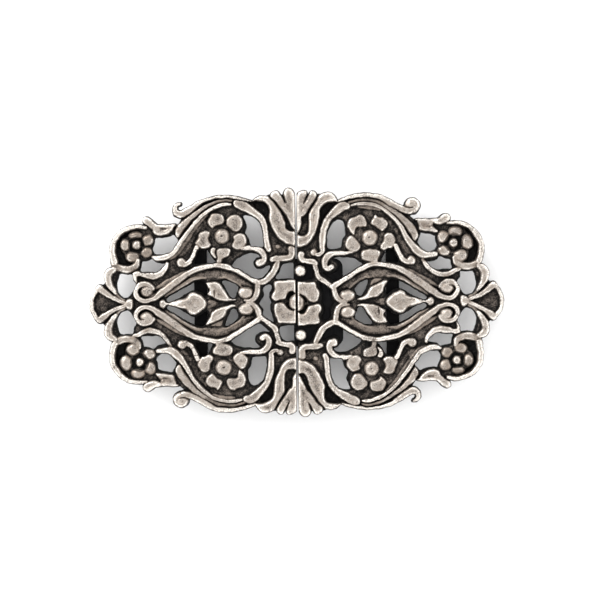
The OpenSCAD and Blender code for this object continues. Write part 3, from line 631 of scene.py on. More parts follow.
def soft_min(a: Array, b: Array, width: float) -> Array:
    """Smaller of two values, rounded as soft_max is."""
    return -soft_max(-a, -b, width)


def spline(rows: Array, steps: int, closed: bool) -> Array:
    """Points on the smooth curve through the rows.

    Each stretch is a cubic, and the slope at a corner is half the step from the corner before it to the
    one after it.

    Args:
        rows: One row of values per corner.
        steps: Points from each corner to the next.
        closed: Whether the last corner joins the first.

    Returns:
        The curve's rows, without a repeated end when it is closed.
    """
    before, after = (np.roll(rows, 1, 0), np.roll(rows, -1, 0))
    if not closed:
        before[0], after[-1] = 2 * rows[0] - rows[1], 2 * rows[-1] - rows[-2]
    slope = (after - before) / 2
    here, there = (rows, after) if closed else (rows[:-1], rows[1:])
    leave, arrive = (slope, np.roll(slope, -1, 0)) if closed else (slope[:-1], slope[1:])
    t = (np.arange(steps) / steps)[None, :, None]
    p, q, m, n = (a[:, None, :] for a in (here, there, leave, arrive))
    curve = ((2 * t**3 - 3 * t**2 + 1) * p + (t**3 - 2 * t**2 + t) * m
             + (3 * t**2 - 2 * t**3) * q + (t**3 - t**2) * n).reshape(-1, rows.shape[1])
    return curve if closed else np.vstack([curve, rows[-1]])


@dataclass
class Lattice:
    """Regular grid over a half of the clasp, on which its relief is worked out; all sizes are in units.

    Attributes:
        pitch: Distance between neighbouring points.
        waver: How far the ornament's outlines waver, as a casting's do.
        seed: Seed of the wavering.
        start: Where the grid starts; it is negative, so that the grid reaches past the seam.
        reach_out: How far it goes out from the seam.
        reach_away: How far it goes to each side of the middle line.
        waves: Share that long waves have in the wavering, and their length.
        ripples: The same of shorter ones.
        out: Distance of each column out from the seam.
        away: Distance of each line from the middle line.
        shape: Number of lines and of columns.
        shift_out: How far each point's outline wavers outwards.
        shift_away: How far it wavers away from the middle line.
    """

    pitch: float
    waver: float
    seed: int
    start: float = -6.0
    reach_out: float = 212.0
    reach_away: float = 118.0
    waves: Span = (0.8, 2.4)
    ripples: Span = (0.5, 1.1)
    out: Array = field(init=False)
    away: Array = field(init=False)
    shape: tuple[int, int] = field(init=False)
    shift_out: Array = field(init=False)
    shift_away: Array = field(init=False)

    def __post_init__(self) -> None:
        """Lays the lines and columns, and draws the wavering."""
        self.out = np.arange(self.start, self.reach_out, self.pitch)
        self.away = np.arange(-self.reach_away, self.reach_away, self.pitch)
        self.shape = (len(self.away), len(self.out))
        (strong, long), (weak, short) = self.waves, self.ripples
        self.shift_out, self.shift_away = (
            self.waver * (strong * self.grain(long, seed) + weak * self.grain(short, seed + 1))
            for seed in (self.seed, self.seed + 2))

    def around(self, rows: Array, margin: float) -> tuple[Part, Array, Array]:
        """Part of the grid round some points.

        Args:
            rows: Points, with the distance out and away in the first two columns.
            margin: How much further the part reaches than the points.

        Returns:
            The part's slices, and the distances out and away of its points, wavering a little.
        """
        low, high = rows[:, :2].min(0) - margin, rows[:, :2].max(0) + margin
        columns = slice(*np.searchsorted(self.out, (low[0], high[0])))
        lines = slice(*np.searchsorted(self.away, (low[1], high[1])))
        out, away = np.meshgrid(self.out[columns], self.away[lines])
        part = (lines, columns)
        return part, out + self.shift_out[part], away + self.shift_away[part]

    def blur(self, values: Array, radius: float) -> Array:
        """Gaussian blur, worked out in the frequency domain on the grid mirrored at its edges.

        Args:
            values: Field on the grid.
            radius: Standard deviation.

        Returns:
            The blurred field.
        """
        mirrored = np.concatenate([values, values[::-1]], 0)
        mirrored = np.concatenate([mirrored, mirrored[:, ::-1]], 1)
        rows = np.fft.fftfreq(mirrored.shape[0])[:, None]
        columns = np.fft.rfftfreq(mirrored.shape[1])[None, :]
        keep = np.exp(-2 * (math.pi * radius / self.pitch) ** 2 * (rows**2 + columns**2))
        whole = np.fft.irfft2(np.fft.rfft2(mirrored) * keep, mirrored.shape)
        return whole[: values.shape[0], : values.shape[1]]

    def grain(self, radius: float, seed: int) -> Array:
        """Smooth random field of unit spread.

        Args:
            radius: Size of its lumps.
            seed: Seed of the random numbers.

        Returns:
            The field.
        """
        lumps = self.blur(np.random.default_rng(seed).normal(size=self.shape), radius)
        return lumps / lumps.std()


def strand_field(out: Array, away: Array, chain: Array) -> tuple[Array, Array, Array]:
    """Where points lie across a strand whose half width changes along its length.

    Each point is dropped onto every stretch of the chain, and the stretch that reaches it deepest counts.

    Args:
        out: Distances out of the points.
        away: Distances away of the points.
        chain: Rows of distance out, distance away and width.

    Returns:
        How deep each point is inside the strand, its distance from the middle as a share of the half
        width, and that half width.
    """
    start, end = chain[:-1, :, None], chain[1:, :, None]
    points = np.stack([out.ravel(), away.ravel()])
    along = end[:, :2] - start[:, :2]
    length = (along**2).sum(1)
    share = np.clip(((points - start[:, :2]) * along).sum(1) / length, 0, 1)
    nearest = start[:, :2] + share[:, None] * along
    distance = np.sqrt(((points - nearest) ** 2).sum(1))
    half_width = (start[:, 2] + share * (end[:, 2] - start[:, 2])) / 2
    best = (half_width - distance).argmax(0)
    pick = (best, np.arange(points.shape[1]))
    inside, across, half = (
        a[pick].reshape(out.shape) for a in (half_width - distance, distance / half_width, half_width))
    return inside, across, half


def ring_field(out: Array, away: Array, ring: Array) -> Array:
    """Distance from a closed outline, positive inside it.

    The distance is to the nearest edge, and a point is inside if a ray from it crosses an odd number of
    edges.

    Args:
        out: Distances out of the points.
        away: Distances away of the points.
        ring: Corners of the outline.

    Returns:
        The signed distance.
    """
    start, end = ring[:, :, None], np.roll(ring, -1, 0)[:, :, None]
    points = np.stack([out.ravel(), away.ravel()])
    along = end - start
    share = np.clip(((points - start) * along).sum(1) / (along**2).sum(1), 0, 1)
    distance = np.sqrt(((points - start - share[:, None] * along) ** 2).sum(1)).min(0)
    spans = (start[:, 1] > points[1]) != (end[:, 1] > points[1])
    # the ray crosses no level edge, so any rise but zero will do for one
    rise = np.where(along[:, 1] == 0, 1.0, along[:, 1])
    crossing = start[:, 0] + (points[1] - start[:, 1]) * along[:, 0] / rise
    inside = (spans & (points[0] < crossing)).sum(0) % 2 == 1
    return np.where(inside, distance, -distance).reshape(out.shape)


@dataclass(frozen=True)
class Layer:
    """Layer of a finish that sets in with some measure of the front.

    Attributes:
        start: Measure at which it starts; it is above full where the layer grows as the measure falls.
        full: Measure at which it is full.
        weight: Its strength when full; negative where it takes some of the others off.
    """

    start: float
    full: float
    weight: float = 1.0

    def over(self, measure: Array) -> Array:
        """Strength of the layer: a soft step of the measure, times its weight."""
        return self.weight * smoothstep(self.start, self.full, measure)


@dataclass
class Relief:
    """Height of a half's front over the lattice, and how far each point is inside the metal.

    Attributes:
        sizes: Sizes of the clasp.
        lattice: Grid that the fields lie on.
        curve_steps: Points from each corner of an outline to the next.
        full_half_width: Half width from which a strand has its full height, in units.
        cap_share: Height of a rounded edge over its width.
        cap_most: Largest share of a form's height that its rounded edge takes up.
        cap_power: Exponent of the rounded edge; 2 is an ellipse, and a larger one is fuller.
        dished: Where a patch's dish starts and is full inside its outline, as shares of its margin.
        fillet: Difference in height within which the foot of a form is filled, in millimetres.
        wall_slope: Fall of a form's wall in one unit, in millimetres.
        wall_end: How far below the ground such a wall ends, in millimetres.
        skirt: How far the metal reaches past the forms on it, in units.
        window_lip: How far it reaches over the outline of an opening, in units.
        draft_foot: Height of the upright foot of the casting's walls, in millimetres.
        draft_slope: Rise of the walls above the foot in one unit, in millimetres.
        draft_round: Difference in height within which their upper edge is rounded, in millimetres.
        thinnest: Least height of the front, in millimetres.
        seam_break: How much of a form's height is taken off at the seam, in millimetres.
        seam_width: Width over which that runs out, in units.
        raised: Height above the ground from which the front counts as a form there, in millimetres.
        window_level: Height that the eye takes an opening for, as a share of the ground's thickness.
        lumps: Height, in millimetres, and size, in units, of the lumps on the cast surface.
        fine_lumps: The same of the finer ones.
        pits: The same of the pits in the ground.
        pitted: Where the pits are, by the height above the ground as a share of the relief.
        depth: Distance inside the metal's edge, in units; negative in openings and outside.
        ledge: Distance from the nearest opening, in units.
        height: Height above the casting's back, in millimetres.
    """

    sizes: ClaspSizes
    lattice: Lattice
    curve_steps: int = 6
    full_half_width: float = 2.0
    cap_share: float = 0.95
    cap_most: float = 0.8
    cap_power: float = 2.4
    dished: Span = (0.6, 2.2)
    fillet: float = 0.1
    wall_slope: float = 0.9
    wall_end: float = 0.2
    skirt: float = 0.8
    window_lip: float = 1.3
    draft_foot: float = 0.3
    draft_slope: float = 1.7
    draft_round: float = 0.25
    thinnest: float = 0.24
    seam_break: float = 0.16
    seam_width: float = 2.2
    raised: float = 0.2
    window_level: float = 0.4
    lumps: Span = (0.02, 2.6)
    fine_lumps: Span = (0.012, 1.1)
    pits: Span = (0.05, 0.8)
    pitted: Layer = Layer(0.35, 0.05)
    depth: Array = field(init=False)
    ledge: Array = field(init=False)
    height: Array = field(init=False)

    def __post_init__(self) -> None:
        """Starts with no metal, far from any opening, at the height of the ground."""
        far = 40.0
        self.depth = np.full(self.lattice.shape, -far)
        self.ledge = np.full(self.lattice.shape, far)
        self.height = np.full(self.lattice.shape, self.sizes.ground_thick)

    def add_ornament(self, ornament: Ornament, side: Side) -> None:
        """Raises an ornament on its ground; its openings are cut later.

        Args:
            ornament: The ornament.
            side: Side of the middle line that it lies on.
        """
        if ornament.ground:
            self.add_ground(ornament.ground, side)
        for patch in ornament.patches:
            self.add_patch(patch, side)
        for scroll in ornament.scrolls:
            self.add_scroll(scroll, side)
        for bead in ornament.beads:
            self.add_bead(bead, side)
        for cut in ornament.cuts:
            self.add_cut(cut, side)

    def placed(self, rows: Rows, side: Side) -> Array:
        """Rows on their side of the middle line.

        Args:
            rows: Rows with the distance out and the distance from the middle line first.
            side: Side of the middle line.

        Returns:
            The same rows as an array, with the second column negative below the middle line.
        """
        values = np.array(rows, float)
        if side is Side.LOWER:
            values[:, 1] *= -1
        return values

    def add_ground(self, corners: Rows, side: Side) -> None:
        """Adds the flat ground inside its edge.

        Args:
            corners: Corners of the edge.
            side: Side of the middle line.
        """
        ring = self.placed(corners, side)
        part, out, away = self.lattice.around(ring, margin=6)
        self.depth[part] = np.maximum(self.depth[part], ring_field(out, away, ring))

    def rounded(self, full: Array | float, reach: Array | float, near: Array) -> Array:
        """Height of a form with a rounded edge: full height less cap * (1 - sqrt(1 - q^power)).

        The cap is as high as the edge is wide, times cap_share, or at most the share cap_most of the form.

        Args:
            full: Full height, in millimetres.
            reach: Width of the rounded edge, in units.
            near: The share q of the way across that edge, 1 at the form's outline.

        Returns:
            The height above the ground, in millimetres.
        """
        cap = np.minimum(self.cap_share * reach * self.sizes.unit, full * self.cap_most)
        return full - cap * (1 - np.sqrt(1 - near**self.cap_power))

    def add_scroll(self, scroll: Scroll, side: Side) -> None:
        """Raises a strand that is rounded from its middle out, less a groove (1 - q^2)^2, q across it.

        Args:
            scroll: The strand; where it is narrow, it is also lower, by the root of its half width.
            side: Side of the middle line.
        """
        chain = spline(self.placed(scroll.sections, side), self.curve_steps, False)
        part, out, away = self.lattice.around(chain, margin=8)
        inside, across, half_width = strand_field(out, away, chain)
        near = np.clip(across, 0, 1)
        narrow = np.clip(half_width / self.full_half_width, 0, 1) ** 0.5
        full = scroll.rise * self.sizes.relief * narrow
        groove = scroll.groove * full * (1 - near**2) ** 2
        self.raise_to(part, inside, self.rounded(full, half_width, near) - groove)

    def add_patch(self, patch: Patch, side: Side) -> None:
        """Raises a patch with a rounded edge and a dished middle, or sinks it by 1 - q^2.

        Here q is the share of the way out across the margin, 1 at the outline. The dish is a soft step.

        Args:
            patch: The patch; one with a negative rise is a pocket.
            side: Side of the middle line.
        """
        ring = spline(self.placed(patch.corners, side), self.curve_steps, True)
        part, out, away = self.lattice.around(ring, margin=4)
        inside = ring_field(out, away, ring)
        near = 1 - np.clip(inside / patch.margin, 0, 1)
        full = patch.rise * self.sizes.relief
        if patch.rise < 0:
            level = self.sizes.ground_thick + full * (1 - near**2)
            sunk = np.minimum(self.height[part], level)
            self.height[part] = np.where(inside > 0, sunk, self.height[part])
            return
        start, end = (patch.margin * share for share in self.dished)
        dish = patch.dish * full * smoothstep(start, end, inside)
        self.raise_to(part, inside, self.rounded(full, patch.margin, near) - dish)

    def add_bead(self, bead: Bead, side: Side) -> None:
        """Raises an oval dome that is rounded from its centre out.

        Args:
            bead: The dome.
            side: Side of the middle line.
        """
        centre = self.placed(((bead.out, bead.away),), side)
        part, out, away = self.lattice.around(centre, margin=max(bead.half_length, bead.half_width) + 3)
        across = np.hypot((out - centre[0, 0]) / bead.half_length, (away - centre[0, 1]) / bead.half_width)
        radius = min(bead.half_length, bead.half_width)
        full = bead.rise * self.sizes.relief
        near = np.clip(across, 0, 1)
        self.raise_to(part, (1 - across) * radius, self.rounded(full, radius, near))

    def raise_to(self, part: Part, inside: Array, rise: Array) -> None:
        """Lifts part of the front to a form, whose walls fall steeply outside it, with a small fillet.

        Args:
            part: Slices of the lattice.
            inside: How far each point is inside the form's outline, in units.
            rise: Height of the form above the ground, in millimetres.
        """
        self.depth[part] = np.maximum(self.depth[part], inside + self.skirt)
        level = self.sizes.ground_thick + rise + self.wall_slope * np.minimum(inside, 0)
        lifted = soft_max(self.height[part], level, self.fillet)
        wall = level > self.sizes.ground_thick - self.wall_end
        self.height[part] = np.where(wall, lifted, self.height[part])

    def add_cut(self, cut: Cut, side: Side) -> None:
        """Cuts a groove of depth (1 - q^2)^2, q across it.

        Args:
            cut: The groove.
            side: Side of the middle line.
        """
        chain = spline(self.placed(cut.sections, side), self.curve_steps, False)
        part, out, away = self.lattice.around(chain, margin=3)
        across = np.clip(strand_field(out, away, chain)[1], 0, 1)
        self.height[part] -= cut.depth * (1 - across**2) ** 2

    def cut_window(self, corners: Rows, side: Side) -> None:
        """Cuts an opening through the metal.

        Args:
            corners: Corners of the opening.
            side: Side of the middle line.
        """
        ring = spline(self.placed(corners, side), self.curve_steps, True)
        part, out, away = self.lattice.around(ring, margin=12)
        clear = self.window_lip - ring_field(out, away, ring)
        self.depth[part] = np.minimum(self.depth[part], clear)
        self.ledge[part] = np.minimum(self.ledge[part], clear)

    def finish_edges(self) -> None:
        """Leans the walls inwards from the back up, as a casting's do."""
        wall = self.draft_foot + self.draft_slope * np.clip(self.depth, 0, None)
        self.height = np.maximum(soft_min(self.height, wall, self.draft_round), self.thinnest)

    def cut_seam(self) -> None:
        """Ends the metal at the seam, and breaks the edge of the raised forms there by (1 - q)^2.

        Here q is the share of the way across the broken edge, 0 at the seam.
        """
        from_seam = self.lattice.out[None, :] - self.sizes.seam_gap / 2 / self.sizes.unit
        broken = self.seam_break * np.clip(1 - from_seam / self.seam_width, 0, 1) ** 2
        form = self.height > self.sizes.ground_thick + self.raised
        self.height = self.height - np.where(form, broken, 0)
        self.depth = np.minimum(self.depth, from_seam)

    def share(self, height: Array) -> Array:
        """Height above the ground as a share of the relief."""
        return (height - self.sizes.ground_thick) / self.sizes.relief

    def roughen(self, seed: int) -> None:
        """Gives the cast surface its slight lumps, and the ground its pits.

        Args:
            seed: Seed of the lumps; the two after it are those of the finer lumps and of the pits.
        """
        lumps, fine_lumps, pits = (
            height * self.lattice.grain(size, seed + k)
            for k, (height, size) in enumerate((self.lumps, self.fine_lumps, self.pits)))
        ground = self.pitted.over(self.share(self.height))
        self.height = np.maximum(self.height + (lumps + fine_lumps) + ground * pits, self.thinnest)

    def shown(self) -> Array:
        """Height of the front, with the openings at the depth that the eye takes them for."""
        return np.where(self.depth > 0, self.height, self.sizes.ground_thick * self.window_level)


@dataclass(frozen=True)
class Tarnish:
    """Patina, painted shade and wear of a casting's front, worked out from its shape.

    Attributes:
        near: Radius of a point's near surroundings, in units.
        wide: Radius of its wider surroundings, in units.
        low: Patina by the height above the ground, as a share of the relief.
        sunk: More of it in pockets, by the same measure.
        shade: Painted shade round the foot of raised forms, by how far a point lies below its wider
            surroundings, in millimetres.
        hollow: More of it in hollows, by the same measure.
        pit: Patina by how far it lies below its near surroundings, in millimetres.
        steep: Patina by the slope of the front.
        ledge: Patina by the distance from an opening, in units.
        ledge_low: How much of that there is, by the height as a share of the relief.
        outline: Patina by the distance inside the metal's edge, in units.
        seam: Patina taken off by the distance from the seam, in units.
        seam_form: How much of that there is, by the height as a share of the relief.
        clouds: Strength and size, in units, of broad clouds of patina.
        wisps: The same of smaller ones.
        most: Most patina and painted shade that there is.
        edge_near: Radius of the surroundings that a sharp edge stands out from, in units.
        edge_wide: Radius of those that a broad crest stands out from, in units.
        edge: Wear by how far a point stands above the first surroundings, in millimetres.
        crest: Wear by how far it stands above the second, in millimetres.
        seam_edge: Wear by the distance from the seam, in units.
        form: How much of that wear there is, by the height as a share of the relief.
        flat: Least wear, by the same measure.
    """

    near: float = 0.9
    wide: float = 2.4
    low: Layer = Layer(0.42, 0.06, 0.42)
    sunk: Layer = Layer(-0.1, -0.34, 0.42)
    shade: Layer = Layer(-0.2, 0.12, 0.3)
    hollow: Layer = Layer(0.04, 0.6, 0.35)
    pit: Layer = Layer(0.02, 0.12, 0.2)
    steep: Layer = Layer(1.8, 4.0, 0.12)
    ledge: Layer = Layer(3.0, 1.6, 0.7)
    ledge_low: Layer = Layer(0.34, 0.16)
    outline: Layer = Layer(1.9, 0.8, 0.55)
    seam: Layer = Layer(3.6, 1.6, -0.3)
    seam_form: Layer = Layer(0.3, 0.5)
    clouds: Span = (0.06, 5.0)
    wisps: Span = (0.07, 1.6)
    most: float = 1.2
    edge_near: float = 1.6
    edge_wide: float = 4.0
    edge: Layer = Layer(0.02, 0.35, 0.5)
    crest: Layer = Layer(0.05, 0.7, 0.5)
    seam_edge: Layer = Layer(3.6, 1.6)
    form: Layer = Layer(0.2, 0.5)
    flat: Layer = Layer(0.48, 0.58, 0.42)

    def patina_and_shade(self, relief: Relief, seed: int) -> Array:
        """How black each point is: the sum of the layers of patina, of the painted shade round raised forms
        and of random clouds.

        Args:
            relief: Front of the casting.
            seed: Seed of the clouds; the one after it is that of the wisps.

        Returns:
            The patina and painted shade, from 0 up.
        """
        shown, lattice = relief.shown(), relief.lattice
        share = relief.share(shown)
        below = lattice.blur(shown, self.wide) - shown
        dip = lattice.blur(shown, self.near) - shown
        slope = np.hypot(*np.gradient(shown, lattice.pitch * relief.sizes.unit))
        # The shade layer is painted shade round the foot of raised forms; the other layers are patina, with
        # less of it where the seam is rubbed.
        layers = (
            self.low.over(share) + self.sunk.over(share) + self.shade.over(below) + self.hollow.over(below)
            + self.pit.over(dip) + self.steep.over(slope)
            + self.ledge.over(relief.ledge) * self.ledge_low.over(share) + self.outline.over(relief.depth)
            + self.seam.over(lattice.out) * self.seam_form.over(share))
        clouds, wisps = (
            strength * lattice.grain(size, seed + k)
            for k, (strength, size) in enumerate((self.clouds, self.wisps)))
        return np.clip(layers + (clouds + wisps), 0, self.most)

    def wear(self, relief: Relief) -> Array:
        """How bright each point is rubbed: most on raised edges and at the seam, less on raised flats.

        Args:
            relief: Front of the casting.

        Returns:
            The wear, from 0 to 1.
        """
        shown, lattice = relief.shown(), relief.lattice
        share = relief.share(shown)
        edge = (self.edge.over(shown - lattice.blur(shown, self.edge_near))
                + self.crest.over(shown - lattice.blur(shown, self.edge_wide)))
        edge = np.maximum(edge, self.seam_edge.over(lattice.out))
        return np.maximum(edge * self.form.over(share), self.flat.over(share))


@dataclass
class Sheet:
    """Closed shell cut from a relief: front, walls and flat back.

    Attributes:
        points: Corners, with distances in units and height in millimetres, one row each.
        faces: Corner numbers of each face.
        flat: Whether each face is shaded flat.
        source: Lattice index of the point that each corner takes its finish from.
    """

    points: Array
    faces: list[list[int]]
    flat: list[bool]
    source: Array


def cell_walk(case: int) -> list[int]:
    """Corners of a lattice cell's metal, walked anticlockwise.

    Args:
        case: Which of the cell's four corners are metal, one bit each.

    Returns:
        Labels: 0 to 3 for a corner, and 4 to 7 for the edge that follows corner 0 to 3.
    """
    walk = []
    for corner in range(4):
        here, there = case >> corner & 1, case >> (corner + 1) % 4 & 1
        walk += [corner] * here + [corner + 4] * (here != there)
    return walk


def numbered(marked: Array, first: int) -> Array:
    """Numbers the marked places in reading order, from the first number on, and the others -1."""
    return np.where(marked, first + np.cumsum(marked).reshape(marked.shape) - 1, -1)


@dataclass
class ShellCutter:
    """Turns a relief into a closed shell by marching squares on the edge of its metal.

    Attributes:
        relief: Relief that is cut.
        nearest: Least share of a cell's side from its ends to a crossing of the metal's edge.
        merge: Distance within which the back's triangulation merges points, in units.
        rounds: Most rounds in which the back's metal spreads from its rim.
        metal: Whether each lattice point is metal.
        across: Whether the edge crosses the side from a point to the next one out.
        upward: Whether it crosses the side from a point to the next one away.
        inner: Number of points in the metal.
        front: Number of points of the front, crossings included.
        node: Number of each point in the metal.
        level: Number of each crossing of a side that runs outwards.
        upright: Number of each crossing of a side that runs away from the middle line.
    """

    relief: Relief
    nearest: float = 0.06
    merge: float = 1e-7
    rounds: int = 400
    metal: Array = field(init=False)
    across: Array = field(init=False)
    upward: Array = field(init=False)
    inner: int = field(init=False)
    front: int = field(init=False)
    node: Array = field(init=False)
    level: Array = field(init=False)
    upright: Array = field(init=False)

    def __post_init__(self) -> None:
        """Numbers the points of the front: lattice points in the metal, then crossings of its edge."""
        self.metal = self.relief.depth > 0
        self.across = self.metal[:, :-1] != self.metal[:, 1:]
        self.upward = self.metal[:-1] != self.metal[1:]
        self.inner = int(self.metal.sum())
        first_upright = self.inner + int(self.across.sum())
        self.front = first_upright + int(self.upward.sum())
        self.node = numbered(self.metal, 0)
        self.level = numbered(self.across, self.inner)
        self.upright = numbered(self.upward, first_upright)

    def front_points(self) -> tuple[Array, Array]:
        """Places of the front's points, and the lattice index each takes its finish from.

        A crossing lies where the depth, taken as a straight line from point to point, is zero. Its height
        is that of the foot of the casting's walls.

        Returns:
            Rows of out and away, in units, and height, in millimetres, and the indices.
        """
        lattice, height, depth = self.relief.lattice, self.relief.height, self.relief.depth
        width = lattice.shape[1]
        lines, columns = np.nonzero(self.metal)
        rows = [np.stack([lattice.out[columns], lattice.away[lines], height[lines, columns]], 1)]
        source = [lines * width + columns]
        for mask, (line_step, column_step) in ((self.across, (0, 1)), (self.upward, (1, 0))):
            j, i = np.nonzero(mask)
            jj, ii = j + line_step, i + column_step
            share = np.clip(depth[j, i] / (depth[j, i] - depth[jj, ii]), self.nearest, 1 - self.nearest)
            rows.append(np.stack([
                lattice.out[i] + share * (lattice.out[ii] - lattice.out[i]),
                lattice.away[j] + share * (lattice.away[jj] - lattice.away[j]),
                np.full(len(i), self.relief.draft_foot),
            ], 1))
            source.append(np.where(depth[j, i] > 0, j * width + i, jj * width + ii))
        return np.concatenate(rows), np.concatenate(source)

    def front_faces(self) -> tuple[list[list[int]], Array]:
        """Faces of the front, and the edge of the metal as pairs of points with the metal on their left.

        Returns:
            The faces, and the pairs, one row each.
        """
        metal = self.metal
        corners = [metal[:-1, :-1], metal[:-1, 1:], metal[1:, 1:], metal[1:, :-1]]
        case = sum(c.astype(int) << k for k, c in enumerate(corners))
        labels = [self.node[:-1, :-1], self.node[:-1, 1:], self.node[1:, 1:], self.node[1:, :-1],
                  self.level[:-1], self.upright[:, 1:], self.level[1:], self.upright[:, :-1]]
        faces, rim = [], []
        for kind in range(1, 16):
            here = case == kind
            walk = cell_walk(kind)
            numbers = [labels[label][here] for label in walk]
            faces += np.stack(numbers, 1).tolist()
            for k, label in enumerate(walk):
                following = (k + 1) % len(walk)
                if label >= 4 and walk[following] >= 4:
                    rim.append(np.stack([numbers[k], numbers[following]], 1))
        return faces, np.concatenate(rim)

    def inside_rim(self, triangles: Array, ring: Array) -> Array:
        """Triangles on the metal's side of the rim.

        A triangle with a side on the rim is metal if it runs along it the same way, and the others take
        after their neighbours.

        Args:
            triangles: Corner numbers, anticlockwise, one row for each triangle.
            ring: Pairs of neighbouring points on the rim, with the metal on their left.

        Returns:
            The rows that are metal.
        """
        count = ring.max() + 1
        here, there = triangles.ravel(), np.roll(triangles, -1, 1).ravel()
        rim = ring[:, 0] * count + ring[:, 1]
        along, against = here * count + there, there * count + here
        order = np.argsort(along)
        place = np.clip(np.searchsorted(along[order], against), 0, len(order) - 1)
        partner = order[place]
        with_rim, against_rim = np.isin(along, rim), np.isin(against, rim)
        joined = (along[partner] == against) & ~(with_rim | against_rim)
        metal = np.sign((with_rim * 1 - against_rim * 1).reshape(-1, 3).sum(1))
        for _ in range(self.rounds):
            if metal.all():
                break
            spread = np.where(joined, metal[partner // 3], 0).reshape(-1, 3).sum(1)
            metal = np.where(metal == 0, np.sign(spread), metal)
        return triangles[metal > 0]

    def shell(self) -> Sheet:
        """The closed shell, with the metal's back at height zero.

        Returns:
            The shell.
        """
        points, source = self.front_points()
        faces, rim = self.front_faces()
        shift = self.front - self.inner
        foot = points[self.inner:].copy()
        foot[:, 2] = 0
        walls = np.stack([rim[:, 1], rim[:, 0], rim[:, 0] + shift, rim[:, 1] + shift], 1).tolist()
        ring = rim - self.inner
        _, _, triangles, origin, _, _ = delaunay_2d_cdt(
            foot[:, :2].tolist(), ring.tolist(), [], 0, self.merge)
        number = np.array([group[0] for group in origin])
        back = (self.inside_rim(number[np.array(triangles)], ring)[:, ::-1] + self.front).tolist()
        return Sheet(
            np.concatenate([points, foot]),
            faces + walls + back,
            [False] * len(faces) + [True] * (len(walls) + len(back)),
            np.concatenate([source, source[self.inner:]]),
        )


def mesh_object(name: str, points: Array, faces: list[list[int]], flat: list[bool],
                material: bpy.types.Material) -> bpy.types.Object:
    """Makes an object that rides on the clasp.

    Args:
        name: Its name.
        points: Corners, in metres.
        faces: Corner numbers of each face.
        flat: Whether each face is shaded flat.
        material: Its finish.

    Returns:
        The object.
    """
    mesh = bpy.data.meshes.new(name)
    mesh.from_pydata(points, [], faces)
    mesh.polygons.foreach_set("use_smooth", [not value for value in flat])
    mesh.materials.append(material)
    mesh.update()
    made = bpy.data.objects.new(name, mesh)
    bpy.context.scene.collection.objects.link(made)
    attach(made, "root")
    LOG.info("%s: %d points, %d faces", name, len(points), len(faces))
    return made


@dataclass
class Casting:
    """Pierced half of the clasp.

    Attributes:
        node: CAD node that it stands for.
        turned: Whether it is turned half round, to lie on the left.
        seed: Seed of the wavering of its outlines; its lumps and clouds have seeds a little above it.
        sizes: Sizes of the clasp.
        tarnish: Patina, painted shade and wear of its front.
        pitch: Distance between the points of its front, in units.
        waver: How far its outlines waver, in units.
        back_patina: Patina of its plain back.
        back_wear: Wear of its plain back.
    """

    node: str
    turned: bool
    seed: int
    sizes: ClaspSizes = ClaspSizes()
    tarnish: Tarnish = Tarnish()
    pitch: float = 0.62
    waver: float = 0.22
    back_patina_and_shade: float = 0.56
    back_wear: float = 0.0

    def relief(self) -> Relief:
        """Works out the half's front, up to the cut at the seam.

        Returns:
            The front.
        """
        relief = Relief(self.sizes, Lattice(self.pitch, self.waver, self.seed))
        ornaments = ((SPIRAL_QUARTER, Side.UPPER), (HOOKED_QUARTER, Side.LOWER), (MIDDLE_LINE, Side.MIDDLE))
        for ornament, side in ornaments:
            relief.add_ornament(ornament, side)
        for ornament, side in ornaments:
            for corners in ornament.windows:
                relief.cut_window(corners, side)
        relief.finish_edges()
        relief.roughen(self.seed + 10)
        return relief

    def build(self, material: bpy.types.Material) -> bpy.types.Object:
        """Makes the casting's mesh in its place, with its patina, painted shade and wear as attributes.

        Args:
            material: Finish of the casting.

        Returns:
            The object, riding on the clasp.
        """
        relief = self.relief()
        # the patina attribute carries the painted shade round raised forms as well as the patina
        finish = (("patina_and_shade", self.tarnish.patina_and_shade(relief, self.seed + 20), self.back_patina_and_shade),
                  ("wear", self.tarnish.wear(relief), self.back_wear))
        relief.cut_seam()
        shell = ShellCutter(relief).shell()
        points = shell.points * (self.sizes.unit, self.sizes.unit, 1)
        points[:, 2] += self.sizes.back_z
        if self.turned:
            points[:, :2] *= -1
        made = mesh_object(f"{self.node}_relief", points * MM, shell.faces, shell.flat, material)
        behind = shell.points[:, 2] == 0
        for name, values, plain in finish:
            attribute = made.data.attributes.new(name, "FLOAT", "POINT")
            values = np.where(behind, plain, values.ravel()[shell.source])
            attribute.data.foreach_set("value", values.astype(np.float32))
        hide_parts(self.node)
        return made


